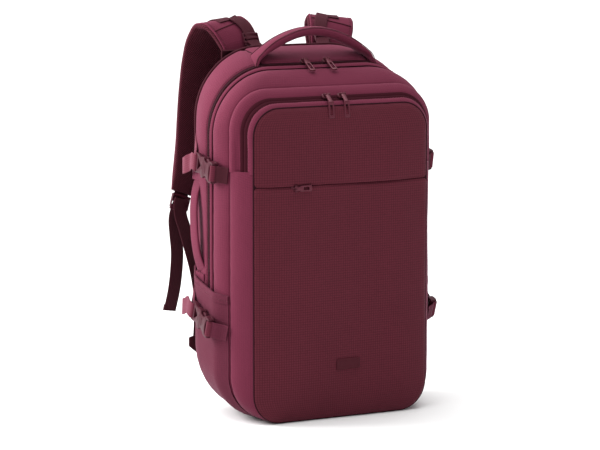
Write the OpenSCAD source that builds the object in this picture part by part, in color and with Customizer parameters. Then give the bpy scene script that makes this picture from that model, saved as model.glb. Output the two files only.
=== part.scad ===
/* [Shell] */
// Height of the bag at its back panel
body_h = 547; // [520:1:570]
// Half width of the front face
face_half_w = 146; // [140:1:150]
// Half width at the front pocket seam
pocket_half_w = 167; // [164:1:170]
// Half width at the main zip, the widest place
zip_half_w = 176; // [174:1:180]
// Half width at the back panel
rear_half_w = 163; // [160:1:166]
// Thickness of the padded fabric walls
wall = 3; // [2:0.5:4]

/* [Openings] */
// Height of the line about which the front leans open
fold_z = 198; // [190:1:205]
// Depth position of that line, at the lower ends of the main zip
fold_y = -20; // [-24:1:-16]
// How far the front leans open, in degrees
lid_angle = 30; // [20:1:32]
// Height of the horizontal pocket zip
pocket_zip_z = 350; // [340:1:355]
// Height of the side pocket hem at its front end
hem_z = 190; // [180:1:196]

/* [Straps] */
// Width of the flat webbing
webbing_w = 25; // [20:1:25]
// Thickness of the flat webbing
webbing_t = 1.6; // [1.2:0.1:2]
// Greatest width of the padded shoulder straps
strap_w = 74; // [60:1:78]
// Thickness of the padded shoulder straps
strap_t = 13; // [10:1:14]

/* [Hidden] */

$fn = 32;
gap = 0.3;
face_y = -90;
seam_y = -54;
zip_y = -5;
rear_y = 66;
front_zip_y = -77;
base_z = 40;
flap_z = pocket_zip_z + 8;
tape_w = 7;
far = 700;
CORNER_STEPS = 7;

// The bag's cross-section at each depth: drop of the top edge and corner radii
STATIONS = [face_y, seam_y, zip_y, rear_y];
TOP_DROP = [78, 52, 23, 0];
TOP_R = [40, 60, 100, 105];
BASE_R = [45, 70, 95, 115];
function at(values, y) = lookup(y, [for (i = [0 : 3]) [STATIONS[i], values[i]]]);
function half_w(y) = at([face_half_w, pocket_half_w, zip_half_w, rear_half_w], y);
function top_z(y) = body_h - at(TOP_DROP, y);
function top_r(y) = at(TOP_R, y);
function base_r(y) = at(BASE_R, y);

// The side pocket stands out from the side by its bulge between two depths
bulge = 7;
bulge_y = [-30, 20];
function bottle_w(y) = lookup(y, [[seam_y, pocket_half_w + 1], [bulge_y[0], zip_half_w + bulge],
    [bulge_y[1], zip_half_w + bulge], [rear_y, rear_half_w + 1]]);

function arc(cx, cz, r, from) =
    [for (i = [0 : CORNER_STEPS]) let (a = from + 90 * i / CORNER_STEPS)
        [cx + r * cos(a), cz + r * sin(a)]];
function round_outline(w, top, rt, rb, grow) = concat(
    arc(w - rb, rb, rb + grow, -90), arc(w - rt, top - rt, rt + grow, 0),
    arc(rt - w, top - rt, rt + grow, 90), arc(rb - w, rb, rb + grow, 180));
function outline(y, grow) = round_outline(half_w(y), top_z(y), top_r(y), base_r(y), grow);
function bottle_outline(y, grow) =
    round_outline(bottle_w(y), top_z(y), top_r(y), base_r(y), grow);
function depths(y0, y1, marks) = concat([y0], [for (y = marks) if (y > y0 && y < y1) y], [y1]);

// A solid skinned over rings of points, each ring with the same count
module skin(rings) {
    n = len(rings[0]);
    last = len(rings) - 1;
    polyhedron(
        points = [for (ring = rings) for (p = ring) p],
        faces = concat(
            [[for (i = [n - 1 : -1 : 0]) i]],
            [[for (i = [0 : n - 1]) last * n + i]],
            [for (k = [0 : last - 1]) for (i = [0 : n - 1])
                [k * n + i, k * n + (i + 1) % n, (k + 1) * n + i]],
            [for (k = [0 : last - 1]) for (i = [0 : n - 1])
                [k * n + (i + 1) % n, (k + 1) * n + (i + 1) % n, (k + 1) * n + i]]));
}

module loft(y0, y1, grow) {
    skin([for (y = depths(y0, y1, STATIONS)) [for (p = outline(y, grow)) [p[0], y, p[1]]]]);
}

module bottle_loft(y0, y1, grow) {
    skin([for (y = depths(y0, y1, [bulge_y[0], zip_y, bulge_y[1]]))
        [for (p = bottle_outline(y, grow)) [p[0], y, p[1]]]]);
}

// A wall of the bag from depth y0 to y1
module ring(y0, y1, outer = 0, inner = -wall) {
    difference() {
        loft(y0, y1, outer);
        loft(y0 - 1, y1 + 1, inner);
    }
}

module between_heights(z0, z1) {
    intersection() {
        children();
        translate([-far / 2, -far / 2, z0]) cube([far, far, z1 - z0]);
    }
}

module mirrored() {
    children();
    mirror([1, 0, 0]) children();
}

// Everything above the slanted plane that the lid's lower edge follows
module lid_part() {
    difference() {
        children();
        translate([0, fold_y, fold_z]) rotate([-lid_angle - 1, 0, 0])
            translate([-far / 2, -far, -far]) cube([far, far, far]);
        translate([-far / 2, -far / 2, fold_z - far]) cube([far, far, far]);
    }
}

// Everything between the lid's lower edge and the fixed lower walls
module fold_part() {
    difference() {
        intersection() {
            children();
            translate([0, fold_y - 1, fold_z - gap]) rotate([-lid_angle - 1, 0, 0])
                translate([-far / 2, -far, -far]) cube([far, far, far]);
        }
        translate([-far / 2, -far / 2, fold_z + gap - far]) cube([far, far, far]);
    }
}

function unit(v) = v / norm(v);
function xyz(p) = [p[0], p[1], p[2]];
function heading(path, i) =
    unit(xyz(path[min(i + 1, len(path) - 1)]) - xyz(path[max(i - 1, 0)]));
function band_ring(path, i, across, thick) =
    let (along = heading(path, i), wide = is_list(across[0]) ? across[i] : across,
        side = unit(wide - (wide * along) * along),
        up = cross(side, along), w = path[i][3] / 2, t = thick / 2, c = min(thick * 0.3, 4),
        corners = [[w, c - t], [w, t - c], [w - c, t], [c - w, t],
            [-w, t - c], [-w, c - t], [c - w, -t], [w - c, -t]])
    [for (q = corners) xyz(path[i]) + q[0] * side + q[1] * up];

// A flat strap or pad along a path of [x, y, z, width]; its width lies along the vector across,
// or along one vector for each point of the path
module band(path, across, thick) {
    skin([for (i = [0 : len(path) - 1]) band_ring(path, i, across, thick)]);
}

/* Fixed back half */

back_t = 6;
pad_y = rear_y + back_t + 0.2;

module back_panel() {
    color("#4a1f2a") loft(rear_y + gap / 10, rear_y + back_t, 0);
}

// Two tall pads beside the spine channel and a lumbar pad below them
module back_pads() {
    channel = 28;
    lumbar_z = 66;
    lumbar_h = 60;
    tall_z = 130;
    tall_h = 370;
    tall_w = 112;
    lumbar_w = 2 * tall_w + channel;
    color("#3a141d") {
        mirrored() translate([channel / 2, pad_y, tall_z]) pad_block(tall_w, tall_h);
        translate([-lumbar_w / 2, pad_y, lumbar_z]) pad_block(lumbar_w, lumbar_h);
    }
}
module pad_block(w, h) {
    r = 18;
    t = 17;
    translate([0, t, 0]) rotate([90, 0, 0]) linear_extrude(t) hull() {
        for (x = [r, w - r])
            for (z = [r, h - r])
                translate([x, z]) circle(r);
    }
}

module frame_sheet() {
    color("#202024") between_heights(24, body_h - 30) loft(rear_y - 6, rear_y - 4, -20);
}

// A padded sheet with side and bottom edges that reach back to the frame sheet
module laptop_sleeve() {
    sleeve_w = 256;
    sleeve_h = 330;
    sleeve_z = 60;
    sleeve_y = rear_y - 36;
    depth = 29.5;
    foam = 5;
    color("#55555c") translate([-sleeve_w / 2, sleeve_y, sleeve_z]) difference() {
        cube([sleeve_w, depth, sleeve_h]);
        translate([foam, foam, foam]) cube([sleeve_w - 2 * foam, depth, sleeve_h]);
    }
}

module rear_gusset() {
    color("#a8505f") between_heights(base_z + gap, far)
        ring(zip_y + 1 + tape_w, rear_y);
}

module lower_gusset() {
    color("#a8505f") between_heights(base_z + gap, fold_z)
        ring(seam_y, zip_y + 1 + tape_w);
}

module base_panel() {
    color("#5a1f2c") between_heights(-1, base_z) difference() {
        loft(face_y, rear_y, 0);
        loft(face_y + wall, rear_y - wall, -wall);
    }
}

module front_wall_lower() {
    color("#7a3644") between_heights(base_z + gap, fold_z) loft(seam_y + 1, seam_y + 2.5, -wall);
}

module pocket_gusset_lower() {
    color("#a04a58") between_heights(base_z + gap, fold_z) ring(face_y, seam_y);
}

module front_panel_lower() {
    color("#7b2c3a") between_heights(2, fold_z) loft(face_y - 3, face_y, 0);
}

// A side panel that stands off the side wall, sewn to it along its front and back edges;
// its hem climbs towards the back
hem_rise = [12, 28];
module side_pocket() {
    color("#9c4554") intersection() {
        difference() {
            bottle_loft(seam_y, rear_y, 0);
            bottle_loft(seam_y + 3, rear_y - 3, -1.6);
            loft(seam_y - 1, rear_y + 1, 0.2);
        }
        translate([-far, 0, 0]) rotate([90, 0, 90]) linear_extrude(far)
            polygon([[seam_y, base_z + gap], [rear_y, base_z + gap],
                [rear_y, hem_z + hem_rise[1]], [zip_y, hem_z + hem_rise[0]], [seam_y, hem_z]]);
        translate([-far, -far / 2, 0]) cube([far, far, far]);
    }
}
module side_pocket_left() { side_pocket(); }
module side_pocket_right() { mirror([1, 0, 0]) side_pocket(); }

module main_zip_rear_tape() {
    color("#5e2530") between_heights(fold_z + gap, far)
        ring(zip_y + gap / 2, zip_y + 1 + tape_w - 0.05, 1, -1);
}

/* Side release buckles, drawn lying flat: x across, y along the strap, z outwards */

buckle_t = 10;
socket_l = 30;
buckle_half_w = 16;
strap_slope = [11, 20];
buckle_z = [378, 153];
buckle_x = [zip_half_w + 1.4, zip_half_w + 8.4];
buckle_y = -3;

// Places a buckle on the left side; level 0 is the upper strap, level 1 the lower one
module place_buckle(level) {
    translate([-buckle_x[level], buckle_y, buckle_z[level]]) rotate([strap_slope[level], 0, 0])
        rotate([0, -90, 0]) rotate([0, 0, 180]) children();
}

module buckle_socket() {
    side_w = 3;
    color("#7d4a52") difference() {
        translate([-buckle_half_w, 0, 0]) cube([2 * buckle_half_w, socket_l + 6, buckle_t]);
        translate([side_w - buckle_half_w, -1, 2])
            cube([2 * (buckle_half_w - side_w), 25, buckle_t - 4]);
        for (x = [-buckle_half_w - 1, buckle_half_w - side_w - 0.5])
            translate([x, 8, -1]) cube([side_w + 1.5, 13, buckle_t + 2]);
        translate([-13, socket_l - 1, -1]) cube([26, 3, buckle_t + 2]);
    }
}

module buckle_plug() {
    frame_l = 24;
    color("#8a565d") {
        difference() {
            translate([-15, -gap - frame_l, 2]) cube([30, frame_l, 6]);
            for (y = [-20, -12])
                translate([-13, y - gap, 1]) cube([26, 3.5, 8]);
        }
        translate([-2.4, -gap, 3]) cube([4.8, 22, 4]);
    }
}

module buckle_arm(side) {
    color("#96626a") mirror([side > 0 ? 0 : 1, 0, 0]) translate([0, 0, 3]) linear_extrude(4)
        polygon([[8, 0.2], [11.5, 0.2], [12, 8.4], [15.4, 10.5], [15.4, 18.5], [10.5, 21.5],
            [8, 21.5]]);
}

module lower_buckle_sockets() { mirrored() place_buckle(1) buckle_socket(); }
module lower_buckle_plugs() { mirrored() place_buckle(1) buckle_plug(); }
module upper_buckle_sockets() { mirrored() place_buckle(0) buckle_socket(); }
module upper_buckle_plugs() { mirrored() place_buckle(0) buckle_plug(); }
module upper_left_arm_top() { place_buckle(0) buckle_arm(-1); }
module upper_left_arm_bottom() { place_buckle(0) buckle_arm(1); }
module upper_right_arm_top() { mirror([1, 0, 0]) place_buckle(0) buckle_arm(-1); }
module upper_right_arm_bottom() { mirror([1, 0, 0]) place_buckle(0) buckle_arm(1); }
module lower_left_arm_top() { place_buckle(1) buckle_arm(-1); }
module lower_left_arm_bottom() { place_buckle(1) buckle_arm(1); }
module lower_right_arm_top() { mirror([1, 0, 0]) place_buckle(1) buckle_arm(-1); }
module lower_right_arm_bottom() { mirror([1, 0, 0]) place_buckle(1) buckle_arm(1); }

// A point along the strap from the buckle's middle, out from the bag's side
function from_buckle(level, along, out) =
    [-buckle_x[level] - out, buckle_y - along * cos(strap_slope[level]),
        buckle_z[level] - along * sin(strap_slope[level])];
function span(points) = [for (p = points) concat(p, [webbing_w])];
// The webbing lies square to its own slope
function slope_across(level) = [0, -sin(strap_slope[level]), cos(strap_slope[level])];

// The short webbing from the pocket seam to the socket's bar
module strap_stub(level) {
    root_x = level == 0 ? pocket_half_w + 2 : pocket_half_w + 4;
    color("#3a141d") band(span([
        [-root_x, seam_y - 2, buckle_z[level] - (51 * tan(strap_slope[level]))],
        from_buckle(level, socket_l + 6.8, 2)]), slope_across(level), webbing_t);
}

// The wing at the back seam, its webbing to the plug and the hanging tail
wing_w = 60;
plug_end = -28;
module strap_span(level) {
    out = level == 0 ? 0 : 2;
    seam_z = buckle_z[level] + 65 * tan(strap_slope[level]);
    slope = slope_across(level);
    color("#3a141d") {
        band([
            [-rear_half_w - 3.4 - out, rear_y - 4, seam_z, wing_w],
            [-rear_half_w - 8.5 - 3 * out, rear_y - 20, seam_z, wing_w * 0.66],
            concat(from_buckle(level, plug_end, 5), [webbing_w])],
            [[0, 0, 1], (slope + [0, 0, 1]) / 2, slope], webbing_t);
        band(span([
            from_buckle(level, plug_end, 8),
            [-rear_half_w - 16 - 3 * out, rear_y - 14, seam_z - 14],
            [-rear_half_w - 15 - out, rear_y + 10, seam_z - 22]]),
            slope, webbing_t);
    }
}
module lower_strap_webbing() {
    mirrored() {
        strap_stub(1);
        strap_span(1);
    }
}
module upper_strap_stubs() { mirrored() strap_stub(0); }
module upper_strap_spans() { mirrored() strap_span(0); }

/* Front half that leans open */

module lid_gusset() {
    color("#b45c69") lid_part() ring(seam_y, zip_y - 1 - tape_w);
}

module front_wall_upper() {
    color("#7a3644") lid_part() loft(seam_y + 1, seam_y + 2.5, -wall);
}

module pocket_gusset_upper() {
    color("#a04a58") lid_part() {
        ring(front_zip_y + 1 + tape_w, seam_y);
        between_heights(fold_z, flap_z - gap) ring(face_y, front_zip_y + 1 + tape_w);
    }
}

module front_panel_mid() {
    color("#7b2c3a") lid_part() between_heights(fold_z, pocket_zip_z - 6)
        loft(face_y - 3, face_y, 0);
}

module pocket_zip_tape() {
    color("#4f1c27") between_heights(pocket_zip_z - 5.9, flap_z - gap)
        loft(face_y - 2, face_y, 0);
}

module main_zip_front_tape() {
    color("#5e2530") lid_part() ring(zip_y - 0.95 - tape_w, zip_y - gap / 2, 1, -1);
}

module front_zip_rear_tape() {
    color("#5e2530") between_heights(flap_z, far)
        ring(front_zip_y + gap / 2, front_zip_y + 0.95 + tape_w, 1, -1);
}

module lid_fold() {
    color("#8c3a48") fold_part() {
        ring(face_y, fold_y - 2);
        loft(face_y - 3, face_y, 0);
    }
}

/* Upper front panel that folds down */

module upper_front_panel() {
    color("#7b2c3a") between_heights(flap_z, far) loft(face_y - 3, face_y, 0);
}

module flap_gusset() {
    color("#a04a58") between_heights(flap_z, far) ring(face_y, front_zip_y - 1 - tape_w);
}

module front_zip_front_tape() {
    color("#5e2530") between_heights(flap_z, far)
        ring(front_zip_y - 0.95 - tape_w, front_zip_y - gap / 2, 1, -1);
}

/* Zip sliders and pulls: x along the zip, z out of the cloth, the pull towards -y */

pin_r = 1;
pin_z = 5.6;
eye_w = 6.4;
main_tilt = 24;
front_tilt = 35.8;

module slider(size = [13, 10]) {
    lug_t = 1.6;
    color("#8f6068") {
        difference() {
            translate([-size[0] / 2, -size[1] / 2, 0]) cube([size[0], size[1], 3]);
            for (side = [0, 1])
                mirror([side, 0, 0]) translate([size[0] / 2 - 1, -size[1], -1])
                    cube([2, size[1] * 0.75, 5]);
        }
        for (x = [-eye_w / 2 - 0.2 - lug_t, eye_w / 2 + 0.2])
            translate([x, -2, 2.9]) cube([lug_t, 4, pin_z - 0.9]);
        translate([-eye_w / 2 - 0.4, 0, pin_z]) rotate([0, 90, 0])
            cylinder(h = eye_w + 0.8, r = pin_r);
    }
}

// A pull whose blade leaves the pin at angle drop[0] and turns to drop[1] after reach[0]
module pull(drop, reach) {
    t = 2;
    blade_t = 2.4;
    knee = [-reach[0] * cos(drop[0]), -reach[0] * sin(drop[0])];
    color("#6d3b44") translate([0, 0, pin_z]) {
        difference() {
            union() {
                translate([-eye_w / 2, 0, 0]) rotate([0, 90, 0]) cylinder(h = eye_w, r = 2.2);
                rotate([drop[0], 0, 0]) translate([-eye_w / 2, -reach[0], -t / 2])
                    cube([eye_w, reach[0], t]);
            }
            translate([-eye_w, 0, 0]) rotate([0, 90, 0])
                cylinder(h = 2 * eye_w, r = pin_r + 0.08);
        }
        translate([0, knee[0], knee[1]]) rotate([drop[1], 0, 0]) difference() {
            translate([-4.5, -reach[1], -blade_t / 2]) cube([9, reach[1] + 0.6, blade_t]);
            translate([-2, -reach[1] + 4, -t]) cube([4, reach[1] - 8, 2 * t]);
        }
    }
}

module place_main(x) {
    translate([x, zip_y - 0.6, top_z(zip_y) + 1.6]) rotate([main_tilt, 0, 0]) children();
}
module place_front(x) {
    translate([x, front_zip_y - 0.9, top_z(front_zip_y) + 1.3]) rotate([front_tilt, 0, 0]) children();
}
module place_pocket() {
    translate([-82, face_y - 3.4, pocket_zip_z]) rotate([90, -90, 0]) children();
}
main_x = [-17, 20];
front_x = [-19, 7];

module main_slider_left() { place_main(main_x[0]) slider(); }
module main_slider_right() { place_main(main_x[1]) slider(); }
module front_slider_left() { place_front(front_x[0]) slider(); }
module front_slider_right() { place_front(front_x[1]) slider(); }
module pocket_slider() { place_pocket() slider([10, 13]); }
module main_pull_left() { place_main(main_x[0]) pull([5, 5], [8, 23]); }
module main_pull_right() { place_main(main_x[1]) pull([5, 5], [8, 23]); }
module front_pull_left() { place_front(front_x[0]) pull([2, 48], [16.6, 24]); }
module front_pull_right() { place_front(front_x[1]) pull([2, 48], [16.6, 24]); }
module pocket_pull() { place_pocket() pull([0, 0], [8, 18]); }

/* Handles */

// An arch of a flat padded strip, of half length half_l, standing rise above its feet, which
// narrow to their hinge line
module arch(half_l, rise, thick, width) {
    steps = 14;
    bend = 3.2;
    foot_h = rise * 0.4;
    foot_w = 3;
    function crown(l, h) =
        [for (i = [-steps : steps]) let (s = i / steps) [s * l, h * (1 - pow(abs(s), bend))]];
    inner = crown(half_l - thick * 0.6, rise - thick);
    intersection() {
        translate([0, width / 2, 0]) rotate([90, 0, 0]) linear_extrude(width)
            polygon(concat(crown(half_l, rise), [for (i = [len(inner) - 1 : -1 : 0]) inner[i]]));
        rotate([90, 0, 90]) translate([0, 0, -half_l - 1]) linear_extrude(2 * half_l + 2)
            polygon([[-foot_w, -1], [foot_w, -1], [foot_w, 0], [width / 2, foot_h],
                [width / 2, rise + 1], [-width / 2, rise + 1], [-width / 2, foot_h],
                [-foot_w, 0]]);
    }
}

module top_handle() {
    color("#5c2330") translate([6, 15, body_h - 7.5]) arch(92, 38, 12, 26);
}

module side_handle() {
    color("#7d3845") translate([-zip_half_w + 4.6, 34, 284]) rotate([-9.5, 1.7, 0])
        rotate([0, -90, 0]) arch(70, 16, 6, 24);
}

/* Shoulder straps */

// The strap's middle line from the yoke over the shoulder to its lower end, with its width as
// a share of the greatest width
strap_path = [[-75, 84.5, 536, 0.89], [-79, 92, 553, 0.95], [-86, 104, 571, 1],
    [-93, 119, 579, 1], [-98, 135, 574, 1], [-104, 145, 556, 1], [-110, 149, 525, 1],
    [-117, 149, 480, 0.97], [-124, 146, 432, 0.92], [-134, 141, 388, 0.78],
    [-146, 136, 348, 0.62], [-155, 132, 322, 0.51]];
strap_across = [1, 0.12, 0.1];

module shoulder_strap() {
    color("#421722")
        band([for (p = strap_path) concat(xyz(p), [p[3] * strap_w])], strap_across, strap_t);
}
module shoulder_strap_left() { shoulder_strap(); }
module shoulder_strap_right() { mirror([1, 0, 0]) shoulder_strap(); }

lock_at = [-159.6, 129.9, 308.4];
// A ladder lock: a frame with two webbing slots
module ladder_lock(w, l, t) {
    slot = l * 0.22;
    difference() {
        translate([-w / 2, -t / 2, -l / 2]) cube([w, t, l]);
        for (z = [-l * 0.18, l * 0.22])
            translate([1.6 - w / 2, -t, z - slot / 2]) cube([w - 3.2, 2 * t, slot]);
    }
}
module strap_lock() {
    color("#8a565d") translate(lock_at) rotate([-8.2, 18.9, 0]) ladder_lock(31, 22, 5);
}
module strap_lock_left() { strap_lock(); }
module strap_lock_right() { mirror([1, 0, 0]) strap_lock(); }

// One webbing: from the lower corner up to the lock, and its free tail
module strap_webbing() {
    color("#3a141d") {
        band(span([[-161, 125, 289], [-156, 119, 268], [-147, 106, 220],
            [-143, 95, 165], [-150, 84, 114]]), [1, 0.3, 0], webbing_t);
        band(span([[-166, 134, 290], [-170, 136, 278], [-168, 131, 240], [-172, 126.5, 190],
            [-180, 125, 142]]), [1, 0.3, 0], webbing_t);
    }
}
module strap_webbing_left() { strap_webbing(); }
module strap_webbing_right() { mirror([1, 0, 0]) strap_webbing(); }

module load_lifter() {
    color("#3a141d") band([[-62, 89, 569, 20], [-66, 96.5, 577.5, 20], [-72, 105, 584.5, 20],
        [-79, 114, 589, 20]], [1, 0.1, 0], webbing_t);
    color("#8a565d") translate([-61, 84.3, 557.7]) rotate([-31, 0, 0]) ladder_lock(26, 18, 4);
}
module load_lifter_left() { load_lifter(); }
module load_lifter_right() { mirror([1, 0, 0]) load_lifter(); }

// Sewn tabs at the lower back corners that hold the shoulder webbing
module strap_anchors() {
    color("#3a141d") mirrored() translate([-150, pad_y, 0]) rotate([90, 0, 0])
        mirror([0, 0, 1]) linear_extrude(4) polygon([[20, 60], [20, 118], [-24, 108], [-24, 94]]);
}

back_panel();
back_pads();
frame_sheet();
laptop_sleeve();
rear_gusset();
lower_gusset();
base_panel();
front_wall_lower();
pocket_gusset_lower();
front_panel_lower();
side_pocket_left();
side_pocket_right();
main_zip_rear_tape();
lower_buckle_sockets();
lower_buckle_plugs();
lower_strap_webbing();
strap_anchors();
lid_gusset();
front_wall_upper();
pocket_gusset_upper();
front_panel_mid();
pocket_zip_tape();
main_zip_front_tape();
front_zip_rear_tape();
upper_buckle_sockets();
upper_buckle_plugs();
upper_strap_stubs();
lid_fold();
upper_strap_spans();
upper_front_panel();
flap_gusset();
front_zip_front_tape();
main_slider_left();
main_slider_right();
front_slider_left();
front_slider_right();
pocket_slider();
main_pull_left();
main_pull_right();
front_pull_left();
front_pull_right();
pocket_pull();
upper_left_arm_top();
upper_left_arm_bottom();
upper_right_arm_top();
upper_right_arm_bottom();
lower_left_arm_top();
lower_left_arm_bottom();
lower_right_arm_top();
lower_right_arm_bottom();
top_handle();
side_handle();
shoulder_strap_left();
shoulder_strap_right();
strap_lock_left();
strap_lock_right();
strap_webbing_left();
strap_webbing_right();
load_lifter_left();
load_lifter_right();
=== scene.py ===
import math

import bmesh
import bpy
import numpy as np
from mathutils import Matrix, Vector, noise


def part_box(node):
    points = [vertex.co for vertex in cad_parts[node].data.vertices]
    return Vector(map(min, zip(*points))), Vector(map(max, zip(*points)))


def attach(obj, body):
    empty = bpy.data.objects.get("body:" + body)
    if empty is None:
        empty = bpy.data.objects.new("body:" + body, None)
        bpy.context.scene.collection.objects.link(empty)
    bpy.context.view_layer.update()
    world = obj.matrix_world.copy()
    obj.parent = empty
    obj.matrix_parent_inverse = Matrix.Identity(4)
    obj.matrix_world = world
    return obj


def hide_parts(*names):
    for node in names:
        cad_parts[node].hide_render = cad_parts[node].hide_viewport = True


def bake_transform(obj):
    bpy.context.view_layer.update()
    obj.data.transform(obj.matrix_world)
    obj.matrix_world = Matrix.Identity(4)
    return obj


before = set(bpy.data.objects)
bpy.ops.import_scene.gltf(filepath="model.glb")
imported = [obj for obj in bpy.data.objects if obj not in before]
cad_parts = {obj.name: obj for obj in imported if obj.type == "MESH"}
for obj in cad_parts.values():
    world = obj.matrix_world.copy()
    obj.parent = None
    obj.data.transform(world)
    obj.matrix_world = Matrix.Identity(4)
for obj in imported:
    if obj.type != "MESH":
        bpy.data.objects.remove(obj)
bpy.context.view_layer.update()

# Lengths in this script are in millimetres until a mesh is made, and MM turns them into metres.
MM = 0.001

# ---------------------------------------------------------------- driving dimensions

# Depths of the seams and zips, from the front to the back.
FACE_Y, FRONT_ZIP_Y, SEAM_Y, ZIP_Y, REAR_Y = -91.0, -77.0, -54.0, -5.0, 66.0
# Heights: of the pocket zip, of the ends of the front and main zips, and of the dark base.
POCKET_ZIP_Z, FRONT_ZIP_END_Z, MAIN_ZIP_END_Z, BASE_Z = 350.0, 376.0, 199.0, 40.0
GROUND = 0.6
BODY_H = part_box("back_panel")[1][2] / MM
SIDES = ("left", "right")

# The bag's outline at four depths, and its width behind the side pockets.
DEPTHS = [-90.0, SEAM_Y, ZIP_Y, REAR_Y]
HALF_WIDTHS = [146.0, 167.0, 176.0, 163.0]
TOPS = [BODY_H - 78, BODY_H - 52, BODY_H - 23, BODY_H]
TOP_RADII = [42.0, 60.0, 100.0, 105.0]
BASE_RADII = [45.0, 70.0, 95.0, 115.0]
POCKET_DEPTHS = [SEAM_Y, -30.0, 20.0, REAR_Y]
POCKET_HALF_WIDTHS = [168.0, 182.0, 182.5, 165.5]


def hermite(t, h, a, b, slope_a, slope_b):
    """A cubic from a to b over a span of length h, with the given slopes at its ends."""
    return ((2 * t**3 - 3 * t**2 + 1) * a + (t**3 - 2 * t**2 + t) * h * slope_a
            + (3 * t**2 - 2 * t**3) * b + (t**3 - t**2) * h * slope_b)


def smooth_curve(xs, ys):
    """A monotone cubic through the given stations."""
    xs, ys = np.array(xs, float), np.array(ys, float)
    step = np.diff(xs)
    rise = np.diff(ys) / step
    slope = np.zeros(len(xs))
    slope[0], slope[-1] = rise[0], rise[-1]
    for i in range(1, len(xs) - 1):
        if rise[i - 1] * rise[i] > 0:
            slope[i] = 2 / (1 / rise[i - 1] + 1 / rise[i])

    def value(x):
        x = min(max(x, xs[0]), xs[-1])
        i = min(int(np.searchsorted(xs, x, "right")) - 1, len(xs) - 2)
        return hermite((x - xs[i]) / step[i], step[i], ys[i], ys[i + 1], slope[i], slope[i + 1])
    return value


half_width = smooth_curve(DEPTHS, HALF_WIDTHS)
top_height = smooth_curve(DEPTHS, TOPS)
top_radius = smooth_curve(DEPTHS, TOP_RADII)
base_radius = smooth_curve(DEPTHS, BASE_RADII)
pocket_half_width = smooth_curve(POCKET_DEPTHS, POCKET_HALF_WIDTHS)

# Points along each part of the outline.
BOTTOM_STEPS, CORNER_STEPS, SIDE_STEPS, TOP_STEPS = 8, 32, 80, 48


def rounded_outline(w, top, rt, rb, base=GROUND):
    """Points and outward normals around a rounded upright outline, from the bottom centre to the right."""
    points, normals = [], []

    def line(a, b, steps, normal):
        for k in range(steps):
            t = k / steps
            points.append((a[0] + (b[0] - a[0]) * t, a[1] + (b[1] - a[1]) * t))
            normals.append(normal)

    def arc(cx, cz, r, start):
        for k in range(CORNER_STEPS):
            a = math.radians(start + 90 * k / CORNER_STEPS)
            points.append((cx + r * math.cos(a), cz + r * math.sin(a)))
            normals.append((math.cos(a), math.sin(a)))

    line((0, base), (w - rb, base), BOTTOM_STEPS, (0, -1))
    arc(w - rb, base + rb, rb, -90)
    line((w, base + rb), (w, top - rt), SIDE_STEPS, (1, 0))
    arc(w - rt, top - rt, rt, 0)
    line((w - rt, top), (rt - w, top), TOP_STEPS, (0, 1))
    arc(rt - w, top - rt, rt, 90)
    line((-w, top - rt), (-w, base + rb), SIDE_STEPS, (-1, 0))
    arc(rb - w, base + rb, rb, 180)
    line((rb - w, base), (0, base), BOTTOM_STEPS, (0, -1))
    return np.array(points), np.array(normals)


def outline(y, grow=0.0, w=None):
    """The bag's outline at depth y, as 3-D points and outward normals."""
    w = half_width(y) if w is None else w
    flat, out = rounded_outline(w, top_height(y), top_radius(y), base_radius(y))
    flat = flat + out * grow
    flat[:, 1] = np.maximum(flat[:, 1], GROUND)
    n = len(flat)
    points = np.stack([flat[:, 0], np.full(n, y), flat[:, 1]], 1)
    normals = np.stack([out[:, 0], np.zeros(n), out[:, 1]], 1)
    return points, normals


def wander(p, size, seed):
    """Smooth noise from about -1 to 1 at a point, with swells about size millimetres apart."""
    return noise.noise(Vector((p[0] / size + seed, p[1] / size, p[2] / size)))


def ease(t):
    t = min(max(t, 0.0), 1.0)
    return t * t * (3 - 2 * t)


# ---------------------------------------------------------------- mesh building

def link(name, data):
    obj = bpy.data.objects.new(name, data)
    bpy.context.scene.collection.objects.link(obj)
    return obj


def smooth_shade(bm, sharp):
    for edge in bm.edges:
        if len(edge.link_faces) == 2:
            edge.smooth = edge.calc_face_angle(0) < math.radians(sharp)
    for face in bm.faces:
        face.smooth = True


def surface_object(name, verts, faces, uvs, cuts=(), thickness=0.0, sharp=40.0, caps=()):
    """A mesh object from points in millimetres; cuts are planes (point, outward normal) that trim it."""
    bm = bmesh.new()
    made = [bm.verts.new(Vector(v) * MM) for v in verts]
    layer = bm.loops.layers.uv.new("UVMap")
    for face, uv in zip(faces, uvs):
        f = bm.faces.new([made[i] for i in face])
        for loop, place in zip(f.loops, uv):
            loop[layer].uv = (place[0] * MM, place[1] * MM)
    for cap in caps:
        bm.faces.new([made[i] for i in cap])
    for point, normal in cuts:
        bmesh.ops.bisect_plane(bm, geom=bm.verts[:] + bm.edges[:] + bm.faces[:], dist=1e-6,
                               plane_co=Vector(point) * MM, plane_no=Vector(normal), clear_outer=True)
    bm.normal_update()
    if thickness:
        bmesh.ops.solidify(bm, geom=bm.faces[:], thickness=thickness * MM)
    else:
        bmesh.ops.recalc_face_normals(bm, faces=bm.faces[:])
    smooth_shade(bm, sharp)
    mesh = bpy.data.meshes.new(name)
    bm.to_mesh(mesh)
    bm.free()
    return link(name, mesh)


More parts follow.
